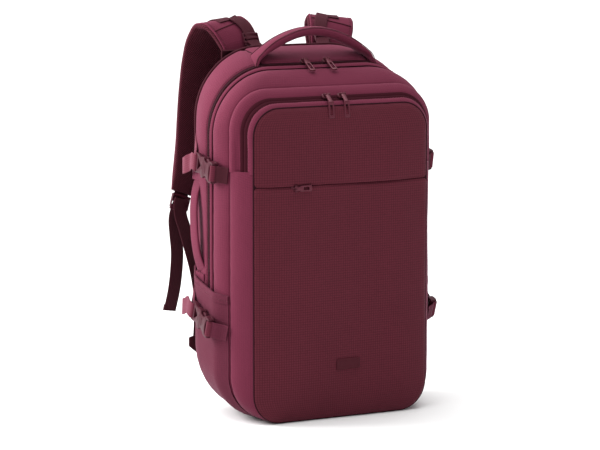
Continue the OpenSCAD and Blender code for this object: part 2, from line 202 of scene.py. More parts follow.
def grid_faces(grid, closed):
    """Faces and texture places of a grid of points, rows by columns; closed joins last column to first."""
    rows, cols = grid.shape[:2]
    across = np.concatenate([[0], np.cumsum(np.linalg.norm(np.diff(
        np.concatenate([grid, grid[:, :1]], 1), axis=1), axis=2).mean(0))])
    along = np.concatenate([[0], np.cumsum(np.linalg.norm(np.diff(grid, axis=0), axis=2).mean(1))])
    faces, uvs = [], []
    for r in range(rows - 1):
        for c in range(cols if closed else cols - 1):
            d = (c + 1) % cols
            faces.append((r * cols + c, r * cols + d, (r + 1) * cols + d, (r + 1) * cols + c))
            uvs.append(((across[c], along[r]), (across[c + 1], along[r]),
                        (across[c + 1], along[r + 1]), (across[c], along[r + 1])))
    return faces, uvs


def grid_object(name, grid, closed=False, cuts=(), thickness=0.0, flip=False, sharp=40.0):
    """A cloth-like object from a grid of points, given thickness towards its inner side."""
    grid = np.array(grid, float)
    faces, uvs = grid_faces(grid, closed)
    if flip:
        faces = [f[::-1] for f in faces]
        uvs = [u[::-1] for u in uvs]
    return surface_object(name, grid.reshape(-1, 3), faces, uvs, cuts, thickness, sharp)


def tube_object(name, rings, sharp=50.0):
    """A closed solid skinned over rings of points."""
    grid = np.array(rings, float)
    faces, uvs = grid_faces(grid, True)
    cols = grid.shape[1]
    last = (grid.shape[0] - 1) * cols
    caps = [tuple(range(cols)), tuple(last + i for i in range(cols))]
    return surface_object(name, grid.reshape(-1, 3), faces, uvs, caps=caps, sharp=sharp)


def copy_mirrored(obj, name):
    """The same piece on the other side of the bag."""
    mesh = obj.data.copy()
    mesh.transform(Matrix.Scale(-1, 4, (1, 0, 0)))
    mesh.flip_normals()
    return link(name, mesh)


def on_side(obj, side, name):
    """Names a piece made on the left, or puts its mirror image on the right in its place."""
    if side == "right":
        made = obj
        obj = copy_mirrored(made, name)
        bpy.data.objects.remove(made)
    obj.name = name
    return obj


# ---------------------------------------------------------------- surfaces of the bag

def swell(t):
    """How far a stuffed panel stands out between two seams, t from 0 to 1."""
    return max(math.sin(math.pi * min(max(t, 0.0), 1.0)), 0.0) ** 0.55


def above(z):
    """A cut that keeps what is above height z."""
    return ((0, 0, z), (0, 0, -1))


def below(z):
    return ((0, 0, z), (0, 0, 1))


class Ring:
    """A panel of cloth around the bag, bulging between seams at depths y0 and y1."""

    def __init__(self, y0, y1, bulge, dip, seed, wave=1.0, grow=0.0, extra=None):
        self.y0, self.y1, self.bulge, self.dip = y0, y1, bulge, dip
        self.seed, self.wave, self.grow, self.extra = seed, wave, grow, extra

    def line(self, y, lifted=0.0):
        """Points and outward normals around the panel at depth y, lifted off its cloth."""
        points, normals = outline(y, self.grow)
        lift = swell((y - self.y0) / (self.y1 - self.y0))
        row = []
        for p, n in zip(points, normals):
            stand = ease((n[2] + 1) / 0.6)
            ripple = self.wave * lift * (1.3 * wander(p, 95, self.seed) + 0.5 * wander(p, 34, self.seed + 7))
            pucker = self.wave * 0.45 * (1 - 0.6 * lift) * wander(p, 11, self.seed + 3)
            off = self.bulge * lift - self.dip * (1 - lift) + ripple + pucker + lifted
            if self.extra:
                off += self.extra(p, n)
            row.append(p + n * off * stand)
        return np.array(row), normals

    def above(self, y, z):
        """The part above height z of a line that lies on the cloth at depth y."""
        points, normals = self.line(y, 0.1)
        keep = points[:, 2] > z
        return points[keep], normals[keep]

    def panel(self, name, cut, rows, thickness=1.4):
        steps = [0.5 - 0.5 * math.cos(math.pi * r / rows) for r in range(rows + 1)]
        grid = [self.line(self.y0 + (self.y1 - self.y0) * t)[0] for t in steps]
        return grid_object(name, grid, closed=True, cuts=[cut], thickness=thickness, flip=True)


def resample(points, step, extra=None):
    """Evenly spaced points along a line, with their other values carried along."""
    points = np.array(points, float)
    run = np.concatenate([[0], np.cumsum(np.linalg.norm(np.diff(points, axis=0), axis=1))])
    at = np.linspace(0, run[-1], max(int(run[-1] / step), 1) + 1)
    placed = np.stack([np.interp(at, run, points[:, k]) for k in range(3)], 1)
    if extra is None:
        return placed
    return placed, np.stack([np.interp(at, run, extra[:, k]) for k in range(3)], 1)


def unit(v):
    v = np.array(v, float)
    return v / np.linalg.norm(v, axis=-1, keepdims=True)


def headings(points):
    return unit(np.gradient(points, axis=0))


STITCH_LENGTH, STITCH_PITCH = 3.0, 4.4


def bricks(name, centres, along, out, size):
    """Many small blocks in one mesh, each turned to its place on a line; used for stitches and zip teeth."""
    verts, faces = [], []
    half = np.array(size) / 2
    corners = [(-1, -1, -1), (1, -1, -1), (1, 1, -1), (-1, 1, -1),
               (-0.7, -0.6, 1), (0.7, -0.6, 1), (0.7, 0.6, 1), (-0.7, 0.6, 1)]
    quads = [(3, 2, 1, 0), (4, 5, 6, 7), (0, 1, 5, 4), (1, 2, 6, 5), (2, 3, 7, 6), (3, 0, 4, 7)]
    for c, a, o in zip(centres, along, out):
        side = np.cross(o, a)
        base = len(verts)
        for k in corners:
            verts.append(c + a * k[0] * half[0] + side * k[1] * half[1] + o * k[2] * half[2])
        faces += [tuple(base + i for i in q) for q in quads]
    uvs = [((0, 0), (1, 0), (1, 1), (0, 1))] * len(faces)
    return surface_object(name, verts, faces, uvs, sharp=30)


def stitches(name, points, out, width=0.7, height=0.7):
    """A row of stitches along a line on cloth."""
    placed, normals = resample(points, STITCH_PITCH, np.array(out, float))
    along = headings(placed)
    normals = unit(normals - along * np.sum(normals * along, 1)[:, None])
    return bricks(name, placed, along, normals, (STITCH_LENGTH, width, height))


def smooth_path(points, step=4.0):
    """A smooth line through points of any number of values, of which the first three are a place."""
    p = np.array(points, float)
    chord = np.concatenate([[0], np.cumsum(np.linalg.norm(np.diff(p[:, :3], axis=0), axis=1))])
    slope = np.gradient(p, chord, axis=0)
    line = []
    for s in np.linspace(0, chord[-1], max(int(chord[-1] / step), 2) + 1):
        i = min(int(np.searchsorted(chord, s, "right")) - 1, len(p) - 2)
        h = chord[i + 1] - chord[i]
        line.append(hermite((s - chord[i]) / h, h, p[i], p[i + 1], slope[i], slope[i + 1]))
    return np.array(line)


def sweep(path, across, section):
    """Rings of points along a path; section(width, fraction) gives places across and above it."""
    along = headings(path[:, :3])
    side = unit(np.array(across, float) - along * (along @ np.array(across, float))[:, None])
    up = np.cross(side, along)
    rings = []
    for i, p in enumerate(path):
        width = p[3] if len(p) > 3 else 0.0
        rings.append([p[:3] + a * side[i] + b * up[i] for a, b in section(width, i / (len(path) - 1))])
    return np.array(rings), side, up


def flat_section(w, t):
    """A flat band with round edges, seen from its end."""
    h = t / 2
    xs = np.linspace(h - w / 2, w / 2 - h, 9)
    turn = np.linspace(math.pi / 2, -math.pi / 2, 6)[1:-1]
    return ([(x, h) for x in xs] + [(w / 2 - h + h * math.cos(a), h * math.sin(a)) for a in turn]
            + [(x, -h) for x in xs[::-1]] + [(h - w / 2 - h * math.cos(a), h * math.sin(a)) for a in -turn])


def puffed_section(w, t, power, steps=28):
    """A stuffed band seen from its end; a higher power makes its corners fuller."""
    places = []
    for k in range(steps):
        a = 2 * math.pi * k / steps
        c, s = math.cos(a), math.sin(a)
        places.append((w / 2 * math.copysign(abs(c) ** (2 / power), c),
                       t / 2 * math.copysign(abs(s) ** (2 / power), s)))
    return places


def webbing_object(name, points, across, thick=1.6, width=25.0, step=3.0):
    """Flat webbing along a smooth path."""
    points = [tuple(p) + ((width,) if len(p) == 3 else ()) for p in points]
    path = smooth_path(points, step)
    return tube_object(name, sweep(path, across, lambda w, f: flat_section(w, thick))[0])


def piping_object(name, points, radius, sides=8):
    """A thin round cord along a line."""
    points = np.array(points, float)
    along = headings(points)
    guide = np.array((0.0, 1.0, 0.0)) if abs(along[0][1]) < 0.9 else np.array((1.0, 0.0, 0.0))
    rings = []
    for p, a in zip(points, along):
        side = unit(guide - a * (guide @ a))
        up = np.cross(side, a)
        guide = side
        rings.append([p + radius * (math.cos(2 * math.pi * k / sides) * side
                                    + math.sin(2 * math.pi * k / sides) * up) for k in range(sides)])
    return tube_object(name, rings)


# ---------------------------------------------------------------- hard parts

def rounded_loop(corners, steps=4):
    """A closed outline from corners (x, y, radius)."""
    loop = []
    for i, (x, y, r) in enumerate(corners):
        here = np.array((x, y))
        before = unit(np.array(corners[i - 1][:2]) - here)
        after = unit(np.array(corners[(i + 1) % len(corners)][:2]) - here)
        angle = math.acos(max(-1.0, min(1.0, float(before @ after))))
        reach = r / math.tan(angle / 2)
        a, b = here + before * reach, here + after * reach
        centre = here + unit(before + after) * (r / math.sin(angle / 2))
        start, end = a - centre, b - centre
        sweep_angle = math.pi - angle
        turn = math.copysign(1, start[0] * end[1] - start[1] * end[0])
        for k in range(steps + 1):
            t = turn * sweep_angle * k / steps
            c, s = math.cos(t), math.sin(t)
            loop.append((centre[0] + start[0] * c - start[1] * s,
                         centre[1] + start[0] * s + start[1] * c))
    return loop


def box_loop(x0, y0, x1, y1, r):
    return rounded_loop([(x0, y0, r), (x1, y0, r), (x1, y1, r), (x0, y1, r)])


def turned(loop, ccw):
    """The same outline, running anticlockwise or clockwise."""
    area = sum(a[0] * b[1] - b[0] * a[1] for a, b in zip(loop, loop[1:] + loop[:1]))
    return loop if (area > 0) == ccw else loop[::-1]


class Hardware:
    """Bevelled plates and round pins gathered into one moulded or cast part."""

    def __init__(self):
        self.bm = bmesh.new()

    def plate(self, loops, z0, z1, bevel, place=Matrix.Identity(4)):
        """A plate from z0 to z1 with an outer outline and, after it, the outlines of its holes."""
        curve = bpy.data.curves.new("outline", "CURVE")
        curve.dimensions = "2D"
        curve.fill_mode = "BOTH"
        for k, loop in enumerate(loops):
            loop = turned(loop, k == 0)
            spline = curve.splines.new("POLY")
            spline.points.add(len(loop) - 1)
            for point, (x, y) in zip(spline.points, loop):
                point.co = (x, y, 0, 1)
            spline.use_cyclic_u = True
        curve.extrude = (z1 - z0) / 2 - bevel
        curve.bevel_depth = bevel
        curve.bevel_resolution = 1
        curve.offset = -bevel
        holder = link("outline", curve)
        mesh = bpy.data.meshes.new_from_object(holder)
        mesh.transform(place @ Matrix.Translation((0, 0, (z0 + z1) / 2)))
        self.bm.from_mesh(mesh)
        bpy.data.objects.remove(holder)
        bpy.data.meshes.remove(mesh)

    def pin(self, a, b, radius):
        """A round pin with softened rims."""
        a, b = Vector(a), Vector(b)
        turn = (b - a).to_track_quat("Z", "Y").to_matrix().to_4x4()
        made = bmesh.ops.create_cone(self.bm, cap_ends=True, segments=16, radius1=radius, radius2=radius,
                                     depth=(b - a).length, matrix=Matrix.Translation((a + b) / 2) @ turn)
        edges = {e for v in made["verts"] for e in v.link_edges}
        rim = [e for e in edges if len(e.link_faces) == 2 and e.calc_face_angle(0) > 1]
        bmesh.ops.bevel(self.bm, geom=rim, offset=radius * 0.25, segments=1, affect="EDGES")

    def finish(self, name, place):
        """Places the part, given in millimetres, in the bag's frame."""
        bmesh.ops.remove_doubles(self.bm, verts=self.bm.verts[:], dist=0.01)
        bmesh.ops.transform(self.bm, matrix=Matrix.Scale(MM, 4) @ place, verts=self.bm.verts[:])
        if place.determinant() < 0:
            bmesh.ops.reverse_faces(self.bm, faces=self.bm.faces[:])
        smooth_shade(self.bm, 35)
        mesh = bpy.data.meshes.new(name)
        self.bm.to_mesh(mesh)
        self.bm.free()
        return link(name, mesh)


# ---------------------------------------------------------------- materials

# Length of one band of a wave texture whose scale is 1.
WAVE_BAND = 0.31416
RIPSTOP_PITCH = 3.6


def colour(value):
    return (value[0], value[1], value[2], 1.0)


class Surface:
    """A new material with its shader's sockets set, and short ways to add nodes to it."""

    def __init__(self, name, values):
        self.mat = bpy.data.materials.new(name)
        self.mat.use_nodes = True
        self.shader = self.mat.node_tree.nodes["Principled BSDF"]
        self.wire(self.shader, values)

    def wire(self, node, values):
        """Sets sockets by name or number, each to a value or to another node's output."""
        for socket, value in values.items():
            if isinstance(value, bpy.types.NodeSocket):
                self.mat.node_tree.links.new(value, node.inputs[socket])
            else:
                node.inputs[socket].default_value = value
        return node

    def add(self, kind, values, **settings):
        node = self.mat.node_tree.nodes.new("ShaderNode" + kind)
        for name, value in settings.items():
            setattr(node, name, value)
        return self.wire(node, values).outputs

    def relief(self, height, strength, depth):
        """Lets fine height, up to depth millimetres, tilt the shading."""
        bump = self.add("Bump", {"Strength": strength, "Distance": depth * MM, "Height": height})
        self.wire(self.shader, {"Normal": bump["Normal"]})


def fabric(name, base, kind="plain", pitch=0.7, rough=0.85, sheen=0.12, bump=0.5, depth=0.25,
           grid_shade=0.40, gloss=0.16):
    """Woven cloth: a plain weave, a ripstop grid, a webbing rib or an open spacer mesh."""
    cloth = Surface(name, {"Roughness": rough, "Sheen Weight": sheen, "Sheen Roughness": 0.42,
                           "Sheen Tint": (1.0, 0.50, 0.68, 1), "Specular IOR Level": gloss})
    place = cloth.add("TexCoord", {})
    turn = cloth.add("Mapping", {"Rotation": (0, 0, math.radians(45) if kind == "mesh" else 0),
                                 "Vector": place["UV"]})["Vector"]

    def combine(operation, a, b):
        return cloth.add("Math", {0: a, 1: b}, operation=operation)[0]

    def wave(direction, period):
        return cloth.add("TexWave", {"Scale": WAVE_BAND / (period * MM), "Vector": turn},
                         bands_direction=direction)["Fac"]

    if kind == "webbing":
        height = combine("MULTIPLY", wave("Y", pitch), combine("ADD", wave("X", pitch * 2.2), 0.6))
    else:
        height = combine("MULTIPLY", wave("X", pitch), wave("Y", pitch))
    contrast, darkest = (2.2, 0.40) if kind == "mesh" else (0.5, 0.87)
    shade = combine("ADD", combine("MULTIPLY", height, contrast), darkest)
    if kind == "ripstop":
        grid = cloth.add("TexBrick", {
            "Scale": 1 / (RIPSTOP_PITCH * MM), "Brick Width": 1.0, "Row Height": 1.0, "Mortar Size": 0.13,
            "Mortar Smooth": 0.4, "Vector": turn}, offset=0.0, squash=1.0)["Fac"]
        height = combine("ADD", combine("MULTIPLY", height, 0.35), grid)
        shade = combine("SUBTRACT", shade, combine("MULTIPLY", grid, grid_shade))
    patches = cloth.add("TexNoise", {"Scale": 9.0, "Detail": 5.0, "Roughness": 0.6,
                                     "Vector": place["Object"]})
    tone = cloth.add("Mix", {"Factor": patches["Fac"], "A": colour([c * 0.9 for c in base]),
                             "B": colour([c * 1.1 for c in base])}, data_type="RGBA")
    woven = cloth.add("Mix", {"Factor": 1.0, "A": tone["Result"], "B": shade}, data_type="RGBA",
                      blend_type="MULTIPLY")
    cloth.wire(cloth.shader, {"Base Color": woven["Result"]})
    cloth.relief(height, bump, depth)
    return cloth.mat


def moulded(name, base, rough=0.4, metallic=0.0, shine=0.3):
    """Moulded plastic or lacquered metal, with a fine uneven gloss."""
    shell = Surface(name, {"Base Color": colour(base), "Metallic": metallic, "Specular IOR Level": shine})
    wear = shell.add("TexNoise", {"Scale": 260.0, "Detail": 4.0,
                                  "Vector": shell.add("TexCoord", {})["Object"]})["Fac"]
    span = shell.add("MapRange", {"To Min": rough - 0.12, "To Max": rough + 0.12, "Value": wear})
    shell.wire(shell.shader, {"Roughness": span["Result"]})
    shell.relief(wear, 0.35, 0.04)
    return shell.mat


WINE = (0.118, 0.0160, 0.0370)
# The front's cloth is the side cloth's wine made darker: painted shade over the whole front face.
FRONT_WINE_PAINTED_SHADE = (0.092, 0.0120, 0.0225)
DARK_WINE = (0.045, 0.0085, 0.0140)
INK_WINE = (0.020, 0.0050, 0.0080)

# The front ripstop carries that painted shade in its colour.
ripstop = fabric("ripstop_front_painted_shade", FRONT_WINE_PAINTED_SHADE, "ripstop", 0.55, sheen=0.07)
plain = fabric("plain_weave", WINE, "ripstop", 0.6, sheen=0.07, grid_shade=0.14, gloss=0.12)
# The side pockets' cloth is the side cloth at 0.76 of its brightness: painted shade low on the sides, near
# the floor.
pocket_weave_painted_shade = fabric("pocket_weave_painted_shade", [c * 0.76 for c in WINE], "ripstop", 0.6, sheen=0.06, grid_shade=0.14)
plain_dark = fabric("plain_weave_dark", DARK_WINE, pitch=0.6, sheen=0.04, gloss=0.08)
airmesh = fabric("air_mesh", (0.066, 0.0120, 0.0200), "mesh", 2.4, rough=0.95, sheen=0.05, bump=1.0,
                 depth=0.9, gloss=0.06)
webbing = fabric("webbing_rib", (0.090, 0.0130, 0.0260), "webbing", 1.4, depth=0.2)
webbing_dark = fabric("webbing_rib_dark", DARK_WINE, "webbing", 1.4, sheen=0.05, bump=0.8, depth=0.35,
                      gloss=0.1)
zip_cloth = fabric("zip_tape", INK_WINE, "webbing", 0.8, sheen=0.01, gloss=0.03)
zip_lines = fabric("zip_cover", (0.028, 0.0042, 0.0080), "webbing", 0.8, sheen=0.01, gloss=0.03)
lining = fabric("lining", (0.050, 0.046, 0.048), pitch=0.4, rough=0.6, sheen=0.1)
thread = fabric("sewing_thread", (0.080, 0.0130, 0.0220), pitch=0.3, sheen=0.4)
coil = moulded("zip_coil", (0.030, 0.0050, 0.0090), rough=0.55, shine=0.06)
plastic = moulded("buckle_plastic", (0.054, 0.0098, 0.0175), rough=0.38, shine=0.09)
lacquer = moulded("slider_lacquer", (0.066, 0.0130, 0.0215), rough=0.34, metallic=0.2, shine=0.12)
pull_lacquer = moulded("pull_lacquer", (0.096, 0.0200, 0.0320), rough=0.32, metallic=0.2, shine=0.15)
rubber = moulded("badge_rubber", (0.055, 0.0075, 0.0135), rough=0.6, shine=0.1)
board = moulded("frame_plastic", (0.012, 0.012, 0.014), rough=0.5)


def dress(obj, mat, slot_name, on=None, *nodes, fill=None):
    """Gives a piece its material and its body, or hands it to a function that bakes its transform; slot_name
    is not used.

    nodes are the CAD nodes that it stands for, and fill is not used.
    """
    obj.data.materials.clear()
    obj.data.materials.append(mat)
    if nodes:
        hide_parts(*nodes)
    if callable(on):
        on(obj)
    elif on:
        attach(obj, on)
    return obj


def bend_lid(obj):
    """Bakes the placement of a piece on the front into its mesh."""
    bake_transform(obj)


def bend_flap(obj):
    """Bakes the placement of a piece on the upper front panel into its mesh."""
    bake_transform(obj)


# ---------------------------------------------------------------- the bag's shell

HANDLE_SEAMS_X = (-84.0, 96.0)
TOP_Z = 500
HOLLOW_Z, HOLLOW_HEIGHT = 205, 157


def rear_hollows(p, n):
    """The seams that take in the top handle's feet, and the hollow behind the side handle."""
    if p[2] > TOP_Z:
        return -2.2 * sum(math.exp(-((p[0] - x) / 3.2) ** 2) for x in HANDLE_SEAMS_X)
    t = (p[2] - HOLLOW_Z) / HOLLOW_HEIGHT
    if p[0] < 0 < t < 1:
        return -3.2 * math.sin(math.pi * t) * math.exp(-((p[1] - 34) / 22) ** 2)
    return 0.0


def zip_end_tuck(p, n):
    """The pleat that the end of the front zip pulls into the gusset."""
    if abs(n[0]) < 0.7 or p[2] > 445 or p[2] < 330:
        return 0.0
    below_end = FRONT_ZIP_END_Z - p[2]
    fade = ease((445 - p[2]) / 60) if below_end < 0 else math.exp(-(below_end / 16) ** 2)
    return -3.4 * math.exp(-((p[1] + 69) / 3.4) ** 2) * fade


rear = Ring(3.0, REAR_Y, 3.4, 2.4, 3.0, extra=rear_hollows)
dress(rear.panel("rear_gusset_cloth", above(BASE_Z), 14), plain, "gusset", "root", "rear_gusset")
lid = Ring(SEAM_Y, -16.0, 3.2, 3.2, 5.0)
dress(lid.panel("front_gusset_cloth", above(BASE_Z), 12), plain, "gusset", bend_lid,
      "lid_gusset", "lower_gusset", "lid_fold")
pocket_low = Ring(FACE_Y, SEAM_Y, 2.4, 3.0, 9.0)
dress(pocket_low.panel("pocket_gusset_cloth", below(FRONT_ZIP_END_Z), 12), plain, "gusset", bend_lid,
      "pocket_gusset_lower", "pocket_gusset_upper")
pocket_top = Ring(-72.8, SEAM_Y, 2.6, 2.4, 11.0, extra=zip_end_tuck)
dress(pocket_top.panel("pocket_gusset_top_cloth", above(FRONT_ZIP_END_Z - 1), 14), plain, "gusset", "lid")
flap = Ring(FACE_Y, -82.2, 1.3, 1.3, 13.0)
dress(flap.panel("flap_strip_cloth", above(FRONT_ZIP_END_Z - 4), 7), plain, "gusset", bend_flap,
      "flap_gusset")
base = Ring(SEAM_Y, REAR_Y, 0.8, 1.2, 15.0)
dress(base.panel("base_cloth", below(BASE_Z + 2), 10, 2.0), plain_dark, "base", "root", "base_panel")


# A face's outline is (half width, top, top radius, base radius, bottom).
def face_outline(k, inset, bottom):
    """The outline at the k-th of the four depths, taken in by inset."""
    return tuple(values[k] - inset for values in (HALF_WIDTHS, TOPS, TOP_RADII, BASE_RADII)) + (bottom,)


def edge_distance(x, z, w, top, rt, rb, base):
    """Distance inside a rounded outline that stands on height base."""
    x = abs(x)
    for cx, cz, r, past in ((w - rt, top - rt, rt, z > top - rt), (w - rb, base + rb, rb, z < base + rb)):
        if past and x > cx:
            return r - math.hypot(x - cx, z - cz)
    return min(w - x, top - z, z - base)


def depth_at(face, depth, x, z):
    """The depth of a face at a place on it."""
    return depth(x, z, max(edge_distance(x, z, *face), 0.0))


def outline_half(z, w, top, rt, rb, base):
    """Half of an outline's width at height z."""
    if z > top - rt:
        return w - rt + math.sqrt(max(rt**2 - (z - top + rt)**2, 0))
    if z < base + rb:
        return w - rb + math.sqrt(max(rb**2 - (base + rb - z)**2, 0))
    return w


def face_cloth(name, z0, z1, face, depth, thickness, flip=True):
    """Cloth over a flat face of the bag, set in depth by depth(x, z, distance to the edge)."""
    top, rt, rb, base = face[1:]
    heights = {z0, z1}
    for a in [math.pi / 2 * k / 22 for k in range(23)]:
        heights |= {z for z in (top - rt + rt * math.sin(a), base + rb - rb * math.sin(a)) if z0 < z < z1}
    heights |= {float(z) for z in np.linspace(z0, z1, max(int((z1 - z0) / 5), 2))
                if base + rb < z < top - rt}
    heights |= {z for d in (1.0, 2.5, 4.5, 7.0, 10.0) for z in (z0 + d, z1 - d) if z0 < z < z1}
    cols = 72
    grid = []
    for z in sorted(heights):
        half = outline_half(z, *face)
        across = [(-0.55 * math.cos(math.pi * c / cols) + 0.45 * (2 * c / cols - 1)) * half
                  for c in range(cols + 1)]
        grid.append([(x, depth_at(face, depth, x, z), z) for x in across])
    return grid_object(name, grid, thickness=thickness, flip=flip)


def roll(d, reach, power=0.8):
    """Rises from 0 at a seam to 1 at reach millimetres inside it."""
    return math.sin(min(max(d / reach, 0), 1) * math.pi / 2) ** power


def front_depth(seam, crown, seed, bottom=None, top=None):
    """The crowned, slightly creased front face; bottom and top are free edges that roll in."""
    def depth(x, z, d):
        hill = 0.5 + 0.5 * math.exp(-((z - 200) / 200) ** 2)
        ripple = 2.4 * wander((x, 0, z), 120, seed) + 1.2 * wander((x, 0, z), 46, seed + 3)
        pucker = 0.5 * wander((x, 0, z), 12, seed + 5) * math.exp(-d / 12)
        y = seam - 2.4 * roll(d, 7) - crown * hill * roll(d, 64, 1.0) - ripple * roll(d, 15) - pucker
        if bottom is not None:
            y += 2.6 * (1 - roll(z - bottom, 5))
        if top is not None:
            y += 2.2 * (1 - roll(top - z, 5))
            y -= 0.9 * math.exp(-((top - z - 5) / 5) ** 2)
        return y
    return depth


SEAM_INSET = 2.0
FACE = face_outline(0, SEAM_INSET, GROUND + SEAM_INSET)
LIP_Z = POCKET_ZIP_Z + 1.5
UPPER_Z = LIP_Z + 2.6
low_depth = front_depth(FACE_Y, 9.0, 21.0, top=LIP_Z)
dress(face_cloth("front_pocket_cloth", FACE[4], LIP_Z, FACE, low_depth, 1.4), ripstop, "ripstop", bend_lid,
      "front_panel_lower", "front_panel_mid")
up_depth = front_depth(FACE_Y + 0.6, 12.0, 23.0, bottom=UPPER_Z)
dress(face_cloth("upper_front_cloth", UPPER_Z, FACE[1], FACE, up_depth, 1.4), ripstop, "ripstop", bend_flap,
      "upper_front_panel")
dress(face_cloth("pocket_zip_cloth", LIP_Z - 12, LIP_Z + 12, FACE,
                 lambda x, z, d: FACE_Y - 0.4 - 4.2 * roll(d, 15) * (1 - (x / 146) ** 2), 0.8),
      zip_cloth, "ziptape", "lid", "pocket_zip_tape")
WALL = face_outline(1, 4, GROUND)
dress(face_cloth("divider_cloth", GROUND + 3, WALL[1], WALL,
                 lambda x, z, d: SEAM_Y + 2 + 2.5 * roll(d, 60) * (1 + wander((x, 0, z), 80, 31.0)), 1.2),
      lining, "lining", bend_lid, "front_wall_lower", "front_wall_upper")
BACK = face_outline(3, 0, GROUND)
dress(face_cloth("back_cloth", GROUND, BACK[1], BACK,
                 lambda x, z, d: (REAR_Y + 4.6 * roll(d, 12) - 1.6 * roll(d, 90)
                                  + 0.8 * wander((x, 0, z), 90, 41.0) * roll(d, 20)), 1.6, False),
      plain_dark, "base", "root", "back_panel")
BACK_LINING = face_outline(3, 8, GROUND)
dress(face_cloth("back_lining_cloth", GROUND + 12, BACK_LINING[1], BACK_LINING,
                 lambda x, z, d: REAR_Y - 7.5 - 1.5 * wander((x, 0, z), 110, 43.0), 0.8),
      lining, "lining", "root")
dress(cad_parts["frame_sheet"], board, "sheet")


# ---------------------------------------------------------------- seams, piping, painted seam shade and stitches

def seam_piping(name, y, radius, cut_z, grow):
    """A cord that follows the outline at depth y, above height cut_z; it makes the rear piping and a dark
    cord of painted seam shade.
    """
    points = outline(y, grow)[0]
    return piping_object(name, resample(points[points[:, 2] > cut_z], 4.0), radius)


dress(seam_piping("rear_piping", REAR_Y + 0.8, 2.2, GROUND + 3, -0.6), plain_dark, "base", "root")
# A dark cord in the seam at SEAM_Y, which has no piping: painted shade of the seam's crease.
dress(seam_piping("pocket_seam_painted_shade_cord", SEAM_Y, 1.1, GROUND + 2, -3.2), zip_cloth, "ziptape", bend_lid)

# Piping round the front panels, as dark as the zip tape: part real piping, part painted shade of the seam's
# crease.
face_points = outline(FACE_Y - 0.2, -1.2)[0]
face_points[:, 2] = np.maximum(face_points[:, 2], GROUND + 1.2)
seam_low = face_points[face_points[:, 2] < FRONT_ZIP_END_Z - 20]
turn_at = int(np.argmax(seam_low[:, 0] < 0))
seam_low = np.concatenate([seam_low[turn_at:], seam_low[:turn_at]])
seam_up = face_points[face_points[:, 2] > FRONT_ZIP_END_Z - 24]
for name, line, on in (("front_seam_piping_with_painted_shade", seam_low, bend_lid), ("flap_seam_piping_with_painted_shade", seam_up, bend_flap)):
    dress(piping_object(name, resample(line, 4.0), 1.3), zip_cloth, "ziptape", on)

strip = Ring(-16.6, -9.4, 1.2, 0.4, 17.0, wave=0.35, grow=0.4)
dress(strip.panel("main_zip_strip_cloth", above(MAIN_ZIP_END_Z - 4), 6), plain, "gusset", bend_lid)
for name, ring, y, z, on in (("main_zip_strip_stitches", strip, -11.4, MAIN_ZIP_END_Z, bend_lid),
                             ("rear_seam_stitches", rear, 5.2, MAIN_ZIP_END_Z, "root"),
                             ("flap_strip_stitches", flap, -83.6, FRONT_ZIP_END_Z, bend_flap)):
    dress(stitches(name, *ring.above(y, z)), thread, "webbing", on)

# Dark cords along the seams that take in the top handle's feet: painted shade of those seams' creases.
for side, x in zip(SIDES, HANDLE_SEAMS_X):
    line = []
    for y in np.linspace(5, REAR_Y - 3, 18):
        row = rear.line(y)[0]
        row = row[row[:, 2] > TOP_Z]
        row = row[np.argsort(row[:, 0])]
        line.append((x, y, float(np.interp(x, row[:, 0], row[:, 2])) + 0.1))
    dress(piping_object(f"top_seam_painted_shade_{side}_cord", line, 0.9), zip_cloth, "ziptape", "root")

lip = resample([(x, depth_at(FACE, low_depth, x, LIP_Z - 8.5) - 0.1, LIP_Z - 8.5)
                for x in np.linspace(-138, 138, 60)], 3.0)
dress(stitches("pocket_lip_stitches", lip, np.tile((0.0, -1.0, 0.0), (len(lip), 1)), width=0.6, height=0.5),
      thread, "webbing", "lid")


# ---------------------------------------------------------------- zips

TOOTH_PITCH = 2.3


def zip_tape(name, y0, y1, end_z, grow, bulge):
    """One tape of a zip between two depths, bulging over the teeth that it covers."""
    grid = []
    for t in (0, 0.25, 0.5, 0.75, 1):
        points, normals = outline(y0 + (y1 - y0) * t, grow)
        grid.append(points + normals * bulge * math.sin(math.pi * t))
    return grid_object(name, grid, closed=True, cuts=[above(end_z)], thickness=0.8, flip=True)


def zip_teeth(name, tape):
    """One tape's row of coil loops on the main zip; tape is -1 or 1 and staggers the two rows."""
    points, normals = outline(ZIP_Y + tape * 0.75, -0.7)
    keep = points[:, 2] > MAIN_ZIP_END_Z
    placed, out = resample(points[keep], TOOTH_PITCH / 2, normals[keep])
    own = slice(0 if tape < 0 else 1, None, 2)
    return bricks(name, placed[own], headings(placed)[own], unit(out[own]), (1.15, 2.7, 2.0))


MAIN_TAPE, FRONT_TAPE = (MAIN_ZIP_END_Z - 4, -1.9, 0.0), (FRONT_ZIP_END_Z, -0.9, 0.9)
for label, y0, y1, shape, mat, on in (
        ("main_zip_front", -17.6, ZIP_Y - 0.25, MAIN_TAPE, zip_cloth, bend_lid),
        ("main_zip_rear", ZIP_Y + 0.25, 4.6, MAIN_TAPE, zip_cloth, "root"),
        ("front_zip_rear", FRONT_ZIP_Y + 0.2, -72.0, FRONT_TAPE, zip_lines, "lid"),
        ("front_zip_front", -82.6, FRONT_ZIP_Y - 0.2, FRONT_TAPE, zip_lines, bend_flap)):
    dress(zip_tape(label + "_cloth", y0, y1, *shape), mat, "ziptape", on, label + "_tape")
dress(zip_teeth("main_zip_front_teeth", -1), coil, "slider", bend_lid)
dress(zip_teeth("main_zip_rear_teeth", 1), coil, "slider", "root")


def rotation(angle, axis):
    return Matrix.Rotation(math.radians(angle), 4, axis)


def mirrored(half):
    """The left half of an outline, from the top down."""
    return [(-x, *rest) for x, *rest in half[::-1]]


def symmetric(half):
    """A closed outline from its right half, given from the bottom up; it starts at the lower left."""
    *others, first = half + mirrored(half)
    return [first, *others]


# Height of a pull's pin over the zip.
PIN_Z = 5.6


